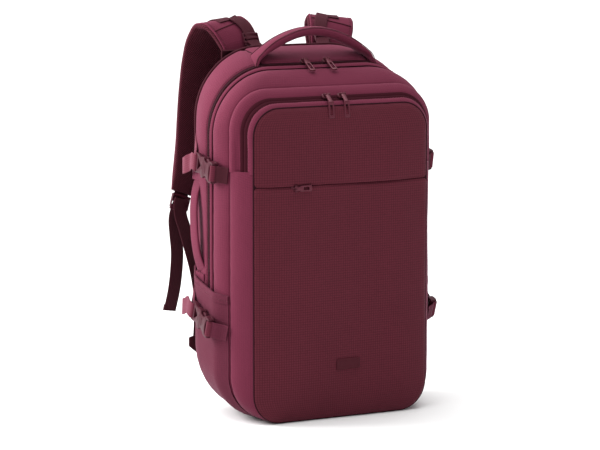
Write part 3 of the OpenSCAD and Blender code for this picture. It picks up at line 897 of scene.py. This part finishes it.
def zip_slider(name, place, spin):
    """A slider with two lugs that hold the pull's pin; its body is spun under the lugs."""
    part = Hardware()
    part.plate([box_loop(-6.5, -4.4, 6.5, 4.4, 2.2)], 0.4, 3.0, 0.7, rotation(spin, "Z"))
    part.plate([box_loop(-4.2, -2.6, 4.2, 2.6, 1.5)], 2.6, 3.9, 0.5, rotation(spin, "Z"))
    lug = rounded_loop(symmetric([(2.2, 2.6, 0.3), (1.5, PIN_Z + 1.5, 1.2)]))
    for x in (-4.4, 4.4):
        upright = Matrix.Translation((x, 0, 0)) @ rotation(90, "X") @ rotation(90, "Y")
        part.plate([lug], -0.8, 0.8, 0.3, upright)
    part.pin((-4.8, 0, PIN_Z), (4.8, 0, PIN_Z), 0.95)
    return part.finish(name, place)


def zip_pull(name, place, drop, reach):
    """A pull: an eye on the pin, a neck and a blade with a window.

    drop is how far the neck and the blade slope down, and reach is how long they are.
    """
    part = Hardware()
    neck = Matrix.Translation((0, 0, PIN_Z)) @ rotation(drop[0], "X")
    part.plate([box_loop(-3.1, -reach[0] - 0.6, 3.1, -1.2, 0.8)], -0.9, 0.9, 0.35, neck)
    for x in (-2.0, 2.0):
        part.pin((x - 1.0, 0, PIN_Z), (x + 1.0, 0, PIN_Z), 2.1)
    slope = math.radians(drop[0])
    knee = Matrix.Translation((0, -reach[0] * math.cos(slope), PIN_Z - reach[0] * math.sin(slope)))
    end = -reach[1]
    blade = rounded_loop(symmetric([(4.6, end, 1.8), (4.2, 0.8, 1.2)]))
    window = rounded_loop(symmetric([(2.3, end + 4.2, 1.0), (2.1, -4.5, 1.0)]))
    part.plate([blade, window], -1.2, 1.2, 0.5, knee @ rotation(drop[1], "X"))
    return part.finish(name, place)


def add_slider(zip_name, side, place, drop, reach, spin=0):
    """A slider and its pull, each on its own body and in the place of its own CAD node."""
    slider, pull = zip_name + "_slider" + side, zip_name + "_pull" + side
    dress(zip_slider(slider + "_body", place, spin), lacquer, "slider", slider, slider)
    dress(zip_pull(pull + "_blade", place, drop, reach), pull_lacquer, "pull", pull, pull)


for side, main_x, front_x in (("_left", -17.0, -19.0), ("_right", 20.0, 7.0)):
    place = Matrix.Translation((main_x, ZIP_Y - 0.6, TOPS[2] + 1.6)) @ rotation(24.0, "X")
    add_slider("main", side, place, (5, 5), (8, 23))
    front_z = TOPS[0] + 26 * (13.0 / 36)
    place = Matrix.Translation((front_x, FRONT_ZIP_Y - 0.9, front_z + 1.3)) @ rotation(35.8, "X")
    add_slider("front", side, place, (2, 48), (16.6, 24))
place = Matrix.Translation((-82, -98.4, POCKET_ZIP_Z)) @ rotation(90, "X") @ rotation(90, "Z")
add_slider("pocket", "", place, (0, 0), (8, 18), spin=90)


# ---------------------------------------------------------------- side pockets

def profile_up(y, z_top, count=46):
    """The left side of a side pocket's outline at depth y, from the ground to height z_top."""
    points, normals = outline(y, w=pocket_half_width(y))
    keep = (points[:, 0] < 0) & (points[:, 2] < z_top + 8) & (normals[:, 0] < -0.05)
    pts, nrm = points[keep][::-1], normals[keep][::-1]
    run = np.concatenate([[0], np.cumsum(np.linalg.norm(np.diff(pts, axis=0), axis=1))])
    begin, end = np.interp(GROUND + 2.0, pts[:, 2], run), np.interp(z_top, pts[:, 2], run)
    at = np.linspace(begin, end, count)
    return (np.stack([np.interp(at, run, pts[:, k]) for k in range(3)], 1),
            unit(np.stack([np.interp(at, run, nrm[:, k]) for k in range(3)], 1)))


def pocket_cloth(y, drop=0.0):
    """A line up the pocket at depth y, to a distance drop below its oblique upper edge."""
    seed = 51.0
    t = (y - SEAM_Y) / (REAR_Y - SEAM_Y)
    lift = swell(t)
    points, normals = profile_up(y, 189.0 + 31.0 * t + 7.0 * (t * t - t) - drop)
    row = []
    for p, n in zip(points, normals):
        rise = ease((p[2] - 8) / 60)
        off = (0.8 * lift - 0.4) + lift * (1.3 * wander(p, 80, seed) + 0.6 * wander(p, 32, seed + 2)) * rise
        off += 0.5 * wander(p, 12, seed + 4) * rise
        row.append(p + n * off)
    return np.array(row), normals


POCKET_ROWS = [SEAM_Y + 0.6 + (REAR_Y - SEAM_Y - 1.2) * (0.5 - 0.5 * math.cos(math.pi * k / 26))
               for k in range(27)]
for side in SIDES:
    cloth = grid_object("pocket", [pocket_cloth(y)[0] for y in POCKET_ROWS], thickness=1.4)
    hem_rows, line, out = [], [], []
    for y in POCKET_ROWS:
        row, normals = pocket_cloth(y)
        top, n = row[-1], normals[-1]
        low = row[-3] * 0.6 + row[-4] * 0.4
        hem_rows.append([end + n * off + (0, 0, up) for end, off, up in (
            (low, 0.3, 0), (low, 1.1, 0), (top, 1.3, -1.0), (top, 0.7, 0.8),
            (top, -1.6, 0.8), (top, -2.2, -1.0), (low, -2.4, 0), (low, -1.7, 0))])
        row, normals = pocket_cloth(y, 6.5)
        line.append(row[-1])
        out.append(normals[-1])
    hem = tube_object("hem", hem_rows)
    sewn = stitches("sewn", np.array(line) + np.array(out) * 1.3, out)
    label = "side_pocket_" + side
    # The side pocket and its hem take that cloth, with its painted shade.
    dress(on_side(cloth, side, label + "_cloth"), pocket_weave_painted_shade, "gusset", "root", label)
    dress(on_side(hem, side, label + "_hem"), pocket_weave_painted_shade, "gusset", "root")
    dress(on_side(sewn, side, label + "_stitches"), thread, "webbing", "root")


# ---------------------------------------------------------------- compression straps and buckles

# Of the upper and the lower buckle: distance from the middle, height, and slope towards the front.
BUCKLE_X, BUCKLE_Z, SLOPE = (177.4, 184.4), (378.0, 153.0), (11.0, 20.0)
BUCKLE_Y = -3.0
MIRROR = Matrix.Scale(-1, 4, (1, 0, 0))


def buckle_place(level, side):
    place = (Matrix.Translation((-BUCKLE_X[level], BUCKLE_Y, BUCKLE_Z[level]))
             @ rotation(SLOPE[level], "X") @ rotation(-90, "Y") @ rotation(180, "Z"))
    return MIRROR @ place if side == "right" else place


def socket_part():
    """The buckle's socket: two waisted plates over a hollow middle, and a bar for the webbing."""
    half = [(13.0, 0.0), (15.4, 1.2), (16.0, 4.5), (15.2, 7.6), (12.0, 9.6), (10.6, 13.0), (10.6, 17.0),
            (12.2, 20.2), (15.0, 22.4), (16.0, 26.0), (16.0, 33.5), (14.4, 36.0)]
    notch = [(-4.5, 0.0), (-3.0, 2.6), (3.0, 2.6), (4.5, 0.0)]
    outer = half + mirrored(half) + notch
    arch = [(x, 29.4 - 3.6 * math.cos(math.pi * x / 25.2)) for x in np.linspace(-11.5, 11.5, 13)]
    hole = [(-12.6, 31.6), (-12.6, 29.4)] + arch + [(12.6, 29.4), (12.6, 31.6)]
    part = Hardware()
    part.plate([outer, hole], 7.1, 10.0, 0.9)
    part.plate([outer, hole], 0.0, 2.9, 0.6)
    end = [(16, 23.2), (16, 35.6), (-16, 35.6), (-16, 23.2), (-11, 21.8), (11, 21.8)]
    part.plate([[(x * 0.975, y) for x, y in end], hole], 2.6, 7.4, 0.2)
    for s in (-1, 1):
        post = [(15.4, 0.4), (15.6, 5.0), (14.0, 7.4), (12.8, 7.4), (12.8, 0.4)]
        part.plate([[(s * x, y) for x, y in post]], 2.6, 7.4, 0.2)
    part.plate([box_loop(-6.0, 12.0, 6.0, 13.2, 0.4)], 9.8, 10.35, 0.15)
    return part


def plug_part():
    """The plug's frame, with a slot and a triangular opening, and its middle tongue."""
    outer = rounded_loop(symmetric([(15, -24.3, 2.0), (15, -18, 3.0), (12.4, -9.0, 8.0), (14.6, -1.6, 1.4),
                                    (12.6, -0.4, 0.8)]))
    slot = box_loop(-13.0, -21.9, 13.0, -18.9, 0.8)
    triangle = rounded_loop([(-9.6, -15.6, 0.9), (9.6, -15.6, 0.9), (0.0, -5.2, 1.2)])
    part = Hardware()
    part.plate([outer, slot, triangle], 2.2, 8.2, 0.9)
    part.plate([box_loop(-2.4, -1.2, 2.4, 21.4, 0.8)], 3.2, 6.8, 0.5)
    return part


def arm_part(s):
    """A spring arm with its ribbed thumb pad; s is 1 for the bottom arm and -1 for the top one."""
    corners = [(8, 0.3, 0.5), (11.4, 0.3, 0.5), (11.8, 8.0, 2.0), (15.3, 10.6, 1.6),
               (15.3, 18.4, 1.8), (10.8, 21.4, 1.2), (8, 21.4, 0.8), (9.0, 12.0, 4.0)]
    part = Hardware()
    part.plate([rounded_loop([(s * x, y, r) for x, y, r in corners])], 3.1, 6.9, 0.6)
    inner, outer = sorted((s * 14.6, s * 15.7))
    for y in (12.6, 14.4, 16.2):
        part.plate([box_loop(inner, y - 0.45, outer, y + 0.45, 0.3)], 3.5, 6.5, 0.2)
    return part


def add_strap(level, side, body):
    """The stub from the pocket seam, the wing and webbing from the back seam, and the hanging tail."""
    x, z = BUCKLE_X[level], BUCKLE_Z[level]
    s = math.radians(SLOPE[level])
    across = (0, -math.sin(s), math.cos(s))
    stub_x = -(168.6, 170.4)[level]
    wall_x = -HALF_WIDTHS[3]
    # The lower wing stands out further, over the side pocket.
    out, seam_z = 2 * level, z + 65 * math.tan(s)

    def at(along, off, *width):
        """A place on the buckle's slope, forwards from its middle and off its inner face."""
        return (-x - off, BUCKLE_Y - along * math.cos(s), z - along * math.sin(s)) + width

    pieces = (
        # The upper stubs are made of the dark base cloth as painted shade; the lower stubs take the side
        # pockets' cloth, with its painted shade.
        ("stub", pocket_weave_painted_shade if level else plain_dark, "upper_strap_stubs", {},
         [(stub_x, SEAM_Y - 0.5, z - 51 * math.tan(s)), (stub_x - 3.6, SEAM_Y + 4.5, z - 46 * math.tan(s)),
          at(39.5, 3.0), at(36.6, 4.6)]),
        ("loop", webbing, "upper_strap_stubs", {"width": 24.0, "step": 1.5},
         [at(36.6, 4.6), at(36.9, 8.5), at(34.2, 11.1), at(31.6, 9.0), at(30.8, 5.0)]),
        ("span", webbing, "upper_strap_spans", {"step": 2.0},
         [(wall_x - 3.2 - out, REAR_Y - 3, seam_z, 64), (wall_x - 9.6 - 3 * out, REAR_Y - 19, seam_z - 4, 46),
          (wall_x - 14.8 - 3 * out, REAR_Y - 33, seam_z - 9, 31), at(-27.5, 3.0, 25), at(-23.6, 0.9, 25),
          at(-21.2, 2.6, 25), at(-20.4, 5.0, 25)]),
        ("tail", webbing, "upper_strap_stubs", {"step": 2.0},
         [at(-20.4, 5.4), at(-20.9, 8.6), at(-23.5, 9.9), at(-27.5, 10.0),
          (wall_x - 17.5 - 3 * out, REAR_Y - 16, seam_z - 12), (wall_x - 18.5 - out, REAR_Y - 2, seam_z - 17),
          (wall_x - 15.5 - out, REAR_Y + 12, seam_z - 20)]))
    for kind, mat, node, shape, path in pieces:
        obj = webbing_object(kind, path, across, **shape)
        dress(on_side(obj, side, f"{('upper', 'lower')[level]}_{side}_strap_{kind}"), mat, "webbing",
              bend_span if kind == "span" and level == 0 else body, "lower_strap_webbing" if level else node)


def bend_span(obj):
    """Bakes the placement of an upper span into its mesh."""
    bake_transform(obj)


for level, tier in enumerate(("upper", "lower")):
    body = ("lid", "root")[level]
    for side in SIDES:
        place = buckle_place(level, side)
        for kind, part in (("socket", socket_part()), ("plug", plug_part())):
            dress(part.finish(f"{tier}_{side}_{kind}_body", place), plastic, "hardware", body,
                  f"{tier}_buckle_{kind}s")
        for which, s in (("bottom", 1), ("top", -1)):
            node = f"{tier}_{side}_arm_{which}"
            dress(arm_part(s).finish(node + "_body", place), plastic, "hardware", node, node)
        add_strap(level, side, body)


# ---------------------------------------------------------------- handles

def handle_points(half, rise, power):
    """A handle's arch as (x, height) places from foot to foot."""
    return [(half * s, rise * (1 - abs(s) ** power)) for s in np.linspace(-1, 1, 49)]


def handle_width(f, ends, middle):
    """Width along a handle: wide at its feet, narrower in the grip."""
    return middle + (ends - middle) * ease((abs(2 * f - 1) - 0.55) / 0.45)


def thinning(f, begin):
    """Thickness along a handle as a share of the grip's; it thins from begin to its feet."""
    return 1 - 0.5 * ease((abs(2 * f - 1) - begin) / (1 - begin))


def along_edge(path, side_v, up_v, edge, widths, inset, height):
    """A line that follows one edge of a handle; height(fraction) is its height over the path."""
    line = []
    for i in range(len(path)):
        f = i / (len(path) - 1)
        line.append(path[i, :3] + side_v[i] * edge * (handle_width(f, *widths) / 2 - inset)
                    + up_v[i] * height(f))
    return np.array(line)


def bend_top_grip(obj):
    """Bakes the placement of a top handle piece into its mesh."""
    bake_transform(obj)


def bend_side_grip(obj):
    """Bakes the placement of a side handle piece into its mesh."""
    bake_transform(obj)


TOP_WIDTHS, TOP_THICK = (36, 27), 14.0
grip_path = [(6 + x, 15, 534.0 + z) for x, z in handle_points(93, 37.0, 1.9)]
grip_path = smooth_path([(-94, 15, 516.0)] + grip_path + [(107, 15, 513.0)], 3.0)
rings, side_v, up_v = sweep(grip_path, (0, 1, 0), lambda w, f: puffed_section(
    handle_width(f, *TOP_WIDTHS), TOP_THICK * thinning(f, 0.5), 2.4))
for r, ring in enumerate(rings):
    for k in range(len(ring)):
        ring[k] += up_v[r] * 0.5 * wander(ring[k], 16, 61.0)
dress(tube_object("top_handle_grip", rings), plain, "gusset", bend_top_grip, "top_handle", fill=0.7)
for edge, label in ((-1, "front"), (1, "back")):
    line = along_edge(grip_path, side_v, up_v, edge, TOP_WIDTHS, 2.2,
                      lambda f: -0.5 * TOP_THICK * thinning(f, 0.5) * 0.80)
    dress(piping_object(f"top_handle_{label}_seam", line, 0.7), thread, "webbing", bend_top_grip)

SIDE_WIDTHS, SIDE_THICK = (27, 23), 5.0
side_turn = (Matrix.Translation((-171.4, 34, 284)) @ rotation(1.7, "Y") @ rotation(-9.5, "X")
             @ rotation(-90, "Y"))
side_path = smooth_path([tuple(side_turn @ Vector((x, 0, z - 0.6)))
                         for x, z in handle_points(69, 10.5, 2.6)], 3.0)
side_across = tuple(side_turn.to_3x3() @ Vector((0, 1, 0)))
rings, side_v, up_v = sweep(side_path, side_across, lambda w, f: puffed_section(
    handle_width(f, *SIDE_WIDTHS), SIDE_THICK * thinning(f, 0.6), 2.8))
dress(tube_object("side_handle_grip", rings), plain, "gusset", bend_side_grip, "side_handle", fill=0.6)
for edge, label in ((-1, "front"), (1, "back")):
    line = along_edge(side_path, side_v, up_v, edge, SIDE_WIDTHS, 3.0, lambda f: 2.4 * thinning(f, 0.6) * 0.9)
    dress(stitches(f"side_handle_{label}_stitches", line, up_v), thread, "webbing", bend_side_grip)
for label, at, way in (("upper", 0, 1), ("lower", -1, -1)):
    x, y, z = side_path[at, :3]
    wall = half_width(y)
    foot = webbing_object(f"side_handle_{label}_foot", [
        (-wall - 4.2, y, z), (-wall - 3.6, y + way * 1.0, z - way * 10),
        (-wall - 1.5, y + way * 2.2, z - way * 20)], side_across, thick=2.2, width=27.0)
    dress(foot, plain, "gusset", "root")


# ---------------------------------------------------------------- shoulder straps

# The left strap's path from the top seam to its lower end, each place with the strap's width.
STRAP_PATH = [(-75, 84.5, 536, 66), (-79, 92, 553, 70), (-86, 104, 571, 74), (-93, 119, 579, 74),
              (-98, 135, 574, 74), (-104, 145, 556, 74), (-110, 149, 525, 74), (-117, 149, 480, 72),
              (-124, 146, 432, 68), (-134, 141, 388, 58), (-146, 136, 348, 46), (-155, 132, 322, 38)]
STRAP_ACROSS, HANGING_ACROSS, LIFTER_ACROSS = (1, 0.12, 0.1), (1, 0.3, 0), (1, 0.1, 0)
# How full the pad's corners are, how far it lies below its path, and the face's share of its width.
PAD_POWER, PAD_DROP, FACE_SHARE = 3.4, 0.4, 0.90
strap_line = smooth_path(STRAP_PATH, 4.0)
count = len(strap_line)


def pad_thickness(f):
    return 11.6 * (0.55 + 0.45 * ease(f / 0.06)) * (0.5 + 0.5 * ease((1 - f) / 0.08))


def pad_wave(p):
    return 0.7 * wander(p, 40, 71.0)


pad_rings, strap_side, strap_up = sweep(strap_line, STRAP_ACROSS, lambda w, f: [
    (a, b - PAD_DROP) for a, b in puffed_section(w, pad_thickness(f), PAD_POWER, 36)])
pad_rings = np.array([[p + strap_up[r] * pad_wave(p) for p in ring] for r, ring in enumerate(pad_rings)])


def strap_top(i, a, lift):
    """A point on the strap's outer face, a from -1 to 1 across it."""
    rise = pad_thickness(i / (count - 1)) / 2 * (1 - abs(a) ** PAD_POWER) ** (1 / PAD_POWER)
    p = strap_line[i, :3] + strap_side[i] * a * strap_line[i, 3] / 2
    return p + strap_up[i] * (rise - PAD_DROP + lift + pad_wave(p))


def strap_row(a, lift):
    """A line along the strap's outer face."""
    return np.array([strap_top(i, a, lift) for i in range(count)])


def ladder(w, l, t, place):
    """A ladder lock: a frame with two slots and a lip to lift it by."""
    part = Hardware()
    slot = l * 0.22
    loops = [box_loop(-w / 2, -l / 2, w / 2, l / 2, 1.8)]
    for z in (-l * 0.18, l * 0.22):
        loops.append(box_loop(1.8 - w / 2, z - slot / 2, w / 2 - 1.8, z + slot / 2, 0.8))
    part.plate(loops, -t / 2, t / 2, min(0.9, t * 0.3))
    part.plate([box_loop(-w / 2 + 1, -l / 2 - 3.0, w / 2 - 1, -l / 2 + 1.5, 1.2)],
               -t / 2 + 0.5, t / 2 - 1.2, 0.4)
    return part.finish("ladder", place @ rotation(90, "X"))


def add_shoulder_strap(side):
    """One strap with its lock, its webbing down to the corner, its load lifter and its corner tab."""
    strap, lock, webbing_node = "strap_" + side, "lock_" + side, "strap_webbing_" + side

    def add(name, obj, mat, slot_name, on=strap, *nodes, fill=None):
        dress(on_side(obj, side, name), mat, slot_name, on, *nodes, fill=fill)

    def add_webbing(name, path, across, on=strap, *nodes, **shape):
        add(name, webbing_object("webbing", path, across, **shape), webbing_dark, "webbing", on, *nodes)

    add(strap + "_pad", tube_object("pad", pad_rings), airmesh, "mesh", strap, "shoulder_" + strap, fill=0.75)
    face = [[strap_top(i, FACE_SHARE * a, 0.7) for a in np.linspace(-1, 1, 15)] for i in range(count)]
    add(strap + "_face", grid_object("face", face, thickness=1.2), plain, "gusset")
    for edge, label in ((-1, "outer"), (1, "inner")):
        cord = piping_object("edge", strap_row(FACE_SHARE * edge, 0.5), 1.5)
        add(f"{strap}_edge_{label}", cord, plain, "gusset")
        sewn = stitches("sewn", strap_row(edge * (FACE_SHARE - 0.09), 1.0), strap_up)
        add(f"{strap}_stitches_{label}", sewn, thread, "webbing")
    fold = [strap_top(int(count * 0.135), a, 1.1) for a in np.linspace(-0.86, 0.86, 12)]
    add(strap + "_seam", piping_object("fold", fold, 0.9), plain_dark, "gusset")
    add_webbing(strap + "_webbing", resample(strap_row(0.0, 1.9)[int(count * 0.16):], 14.0), STRAP_ACROSS)

    end = strap_line[-1, :3]
    add_webbing(strap + "_lock_tab", [
        tuple(end + (1.2, 1.5, 9)), tuple(end + (0, 1.6, 0)), (-156.8, 133.6, 317.0), (-157.7, 132.0, 313.6),
        (-158.4, 129.4, 311.6), (-158.9, 127.3, 309.0), (-159.3, 126.9, 305.8)],
        STRAP_ACROSS, width=26.0, step=1.5)
    add(strap + "_lock_body", ladder(31, 22, 5, Matrix.Translation((-159.6, 129.9, 308.4))
                                     @ rotation(18.9, "Y") @ rotation(-8.2, "X")), plastic, "hardware", lock,
        "strap_lock_" + side)
    add_webbing(strap + "_lock_wrap", [
        (-158.0, 126.6, 313.0, 28), (-159.6, 126.0, 308.0, 28), (-161.1, 125.4, 303.0, 27),
        (-162.2, 124.4, 297.0, 25)], HANGING_ACROSS,
        lambda obj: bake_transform(obj), step=1.5)
    add_webbing(strap + "_lower_webbing", [
        (-162.1, 124.5, 298.0), (-162.2, 124.0, 295.0), (-161.6, 122.8, 288), (-158.0, 119.4, 272),
        (-152.5, 112, 243), (-146.0, 103, 205), (-143.5, 95, 165), (-148, 86, 122), (-151, 82, 106)],
        HANGING_ACROSS, lambda obj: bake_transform(obj),
        webbing_node)
    add_webbing(strap + "_tail_webbing", [
        (-159.2, 131.6, 309.6, 27), (-160.9, 133.2, 304.0, 27), (-163.0, 135.6, 297), (-165.0, 137.2, 284),
        (-165.0, 135.0, 260), (-164.5, 131.0, 234), (-167.6, 127.4, 204), (-173.0, 125.6, 172),
        (-179.6, 125.2, 146)],
        HANGING_ACROSS, lambda obj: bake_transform(obj),
        webbing_node)
    add_webbing(strap + "_tail_hem", [(-178.6, 126.4, 151.5), (-180.3, 126.5, 142.5)], HANGING_ACROSS,
                thick=3.4, width=26.0, step=2)

    add_webbing(f"lifter_{side}_webbing", [
        (-59.5, 83.0, 556.5), (-60.5, 86.5, 562.5), (-64, 94.5, 574), (-70.5, 104, 583.0),
        (-78.5, 114.5, 588.6)], LIFTER_ACROSS, strap, "load_lifter_" + side, width=20.0)
    add(f"lifter_{side}_lock", ladder(26, 18, 4, Matrix.Translation((-61, 84.3, 557.7)) @ rotation(-31, "X")),
        plastic, "hardware")
    add_webbing(f"lifter_{side}_tab", [
        (-56, 68.5, 545.5), (-57.5, 74.0, 549.0), (-59.5, 79.0, 552.6), (-60.5, 82.2, 555.0)], LIFTER_ACROSS,
        lambda obj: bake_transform(obj), width=20.0)

    anchor = Hardware()
    anchor.plate([rounded_loop([(20, 60, 1), (20, 118, 1), (-22, 109, 3), (-22, 95, 3)])], 0.2, 3.6, 0.6)
    place = Matrix.Translation((-150, REAR_Y + 6.2, 0)) @ rotation(90, "X") @ Matrix.Scale(-1, 4, (0, 0, 1))
    add(strap + "_anchor", anchor.finish("anchor", place), webbing_dark, "webbing", "root", "strap_anchors")


for side in SIDES:
    add_shoulder_strap(side)

# The panel that takes in the straps' upper ends.
YOKE_HALF, YOKE_LOW, YOKE_TOP = 116, 486, 541
yoke_rows = []
for z in np.linspace(YOKE_LOW, YOKE_TOP, 12):
    row = []
    for x in np.linspace(-YOKE_HALF, YOKE_HALF, 40):
        edge = (min(1.0, (YOKE_HALF - abs(x)) / 9)
                * min(1.0, (YOKE_TOP + 0.2 - z) / 5, (z - YOKE_LOW + 0.2) / 5))
        row.append((x, REAR_Y + 5.2 + 6.0 * max(edge, 0) ** 0.5 + 0.6 * wander((x, 0, z), 30, 81.0), z))
    yoke_rows.append(row)
dress(grid_object("yoke_cloth", yoke_rows, thickness=2.0), plain_dark, "base", "root")


# ---------------------------------------------------------------- back pads, sleeve and badge

def evaluated_mesh(obj):
    """What an object's modifiers make of it, after which they are removed."""
    mesh = bpy.data.meshes.new_from_object(obj.evaluated_get(bpy.context.evaluated_depsgraph_get()))
    obj.modifiers.clear()
    return mesh


def puff(name, size, centre, radius, cap, pressure=4.0, shrink=0.8):
    """A stuffed pad: a rounded block is swollen by cloth simulation, by up to cap, and smoothed."""
    w, t, h = size
    part = Hardware()
    part.plate([box_loop(-w / 2, -h / 2, w / 2, h / 2, radius)], -t * shrink / 2, t * shrink / 2,
               t * shrink * 0.3)
    obj = part.finish(name, Matrix.Translation(centre) @ rotation(90, "X"))
    remesh = obj.modifiers.new("remesh", "REMESH")
    remesh.mode = "VOXEL"
    remesh.voxel_size = 5.0 * MM
    mesh = evaluated_mesh(obj)
    obj.data = mesh
    rest = np.array([v.co for v in mesh.vertices])
    settings = obj.modifiers.new("cloth", "CLOTH").settings
    settings.use_pressure = True
    settings.uniform_pressure_force = pressure
    settings.effector_weights.gravity = 0.0
    settings.tension_stiffness = 30
    settings.compression_stiffness = 30
    for step in range(1, 21):
        bpy.context.scene.frame_set(step)
    move = np.array([v.co for v in evaluated_mesh(obj).vertices]) - rest
    bpy.context.scene.frame_set(1)
    far = np.linalg.norm(move, axis=1, keepdims=True)
    rest = rest + move * np.minimum(1, cap * MM / np.maximum(far, 1e-9))
    for vertex, swollen in zip(mesh.vertices, rest):
        vertex.co = swollen
    obj.modifiers.new("smooth", "SUBSURF").levels = 1
    obj.data = evaluated_mesh(obj)
    for face in obj.data.polygons:
        face.use_smooth = True
    layer = obj.data.uv_layers.get("UVMap") or obj.data.uv_layers.new(name="UVMap")
    for loop in obj.data.loops:
        layer.data[loop.index].uv = obj.data.vertices[loop.vertex_index].co.xz
    return obj


PAD_Y = REAR_Y + 6.2
COLUMN, LUMBAR = (108, 14, 366), (248, 14, 57)
for name, size, x, z in (("back_pad_left", COLUMN, -70, 315), ("back_pad_right", COLUMN, 70, 315),
                         ("lumbar_pad", LUMBAR, 0, 96)):
    dress(puff(name, size, (x, PAD_Y + 8.0, z), 17, 4.0), airmesh, "mesh", "root", "back_pads", fill=0.6)
    half_w, half_h = size[0] / 2 + 1.5, size[2] / 2 + 1.5
    loop = box_loop(-half_w, -half_h, half_w, half_h, 18)
    line = [(x + a, PAD_Y + 1.6, z + b) for a, b in loop + loop[:1]]
    dress(piping_object(name + "_edge", resample(line, 4.0), 2.0), plain_dark, "base", "root")

SLEEVE_Y = REAR_Y - 33
dress(puff("laptop_sleeve_front", (252, 5.5, 326), (0, SLEEVE_Y, 225), 10, 2.0, pressure=2.0), lining,
      "lining", "root", "laptop_sleeve", fill=0.5)
sleeve_top = [(-125, SLEEVE_Y, 387), (0, SLEEVE_Y - 0.4, 387), (125, SLEEVE_Y, 387)]
dress(webbing_object("laptop_sleeve_binding", sleeve_top, (0, 0, 1), thick=7.0, width=12.0), webbing_dark,
      "webbing", "root")
for side, x in zip(SIDES, (-125.5, 125.5)):
    rows = [[(x + 1.2 * wander((x, y, z), 50, 91.0), y, z) for z in np.linspace(62, 386, 24)]
            for y in np.linspace(SLEEVE_Y, REAR_Y - 8, 8)]
    dress(grid_object(f"laptop_sleeve_{side}_side", rows, thickness=1.0), lining, "lining", "root")

# A blank badge, bowed like the front, with a raised line around its middle.
BADGE_X, BADGE_Z, BADGE_W, BADGE_H = 6.0, 83.0, 38.0, 15.0
badge_rows = []
for b in np.linspace(-1, 1, 17):
    row = []
    for a in np.linspace(-1, 1, 41):
        x, z = BADGE_X + a * BADGE_W / 2, BADGE_Z + b * BADGE_H / 2
        edge = min((1 - abs(a)) * BADGE_W, (1 - abs(b)) * BADGE_H) / 2
        rise = 0.3 + 0.7 * ease(edge) + 0.35 * math.exp(-((edge - 2.0) / 0.6) ** 2)
        row.append((x, depth_at(FACE, low_depth, x, z) - 1.2 - rise, z))
    badge_rows.append(row)
dress(grid_object("front_badge", badge_rows, thickness=1.4, flip=True), rubber, "base", bend_lid)


# ---------------------------------------------------------------- stage, light and camera

def facing(direction):
    """The rotation that turns a lamp or camera to look along a direction."""
    return Vector(direction).to_track_quat("-Z", "Y").to_euler()


floor_mesh = bpy.data.meshes.new("floor")
floor_mesh.from_pydata([(-30, -30, 0), (30, -30, 0), (30, 30, 0), (-30, 30, 0)], [], [(0, 1, 2, 3)])
pale = Surface("pale_floor", {"Base Color": (0.75, 0.75, 0.75, 1), "Roughness": 0.9})
floor_mesh.materials.append(pale.mat)
link("floor", floor_mesh)

world = bpy.data.worlds.new("studio")
world.use_nodes = True
world.node_tree.nodes["Background"].inputs["Color"].default_value = (1, 1, 1, 1)
world.node_tree.nodes["Background"].inputs["Strength"].default_value = 0.62
bpy.context.scene.world = world
bpy.context.scene.view_settings.view_transform = "Standard"

key = bpy.data.lights.new("key_left", "AREA")
key.shape = "RECTANGLE"
key.size, key.size_y = 0.9, 0.8
key.energy = 43
key_lamp = link("key_left", key)
key_lamp.location = (-1.3, 0.8, 1.0)
key_lamp.rotation_euler = facing((1.3, -0.8, -0.72))
sun = bpy.data.lights.new("overhead", "SUN")
sun.energy = 4.0
sun.angle = math.radians(75)
link("overhead", sun).rotation_euler = facing((0.10, -0.15, -1.0))

CAMERA_DISTANCE = 4.070
CAMERA_YAW = math.radians(27.6)
CAMERA_PITCH = math.radians(8.0)
CAMERA_AIM = Vector((-0.021, 0.0, 0.280))
back = Vector((-math.sin(CAMERA_YAW) * math.cos(CAMERA_PITCH),
               -math.cos(CAMERA_YAW) * math.cos(CAMERA_PITCH), math.sin(CAMERA_PITCH)))
camera_data = bpy.data.cameras.new("camera")
camera_data.sensor_width = 36.0
camera_data.lens = 162.0
camera = link("camera", camera_data)
camera.location = CAMERA_AIM + back * CAMERA_DISTANCE
camera.rotation_euler = facing(-back)
bpy.context.scene.camera = camera
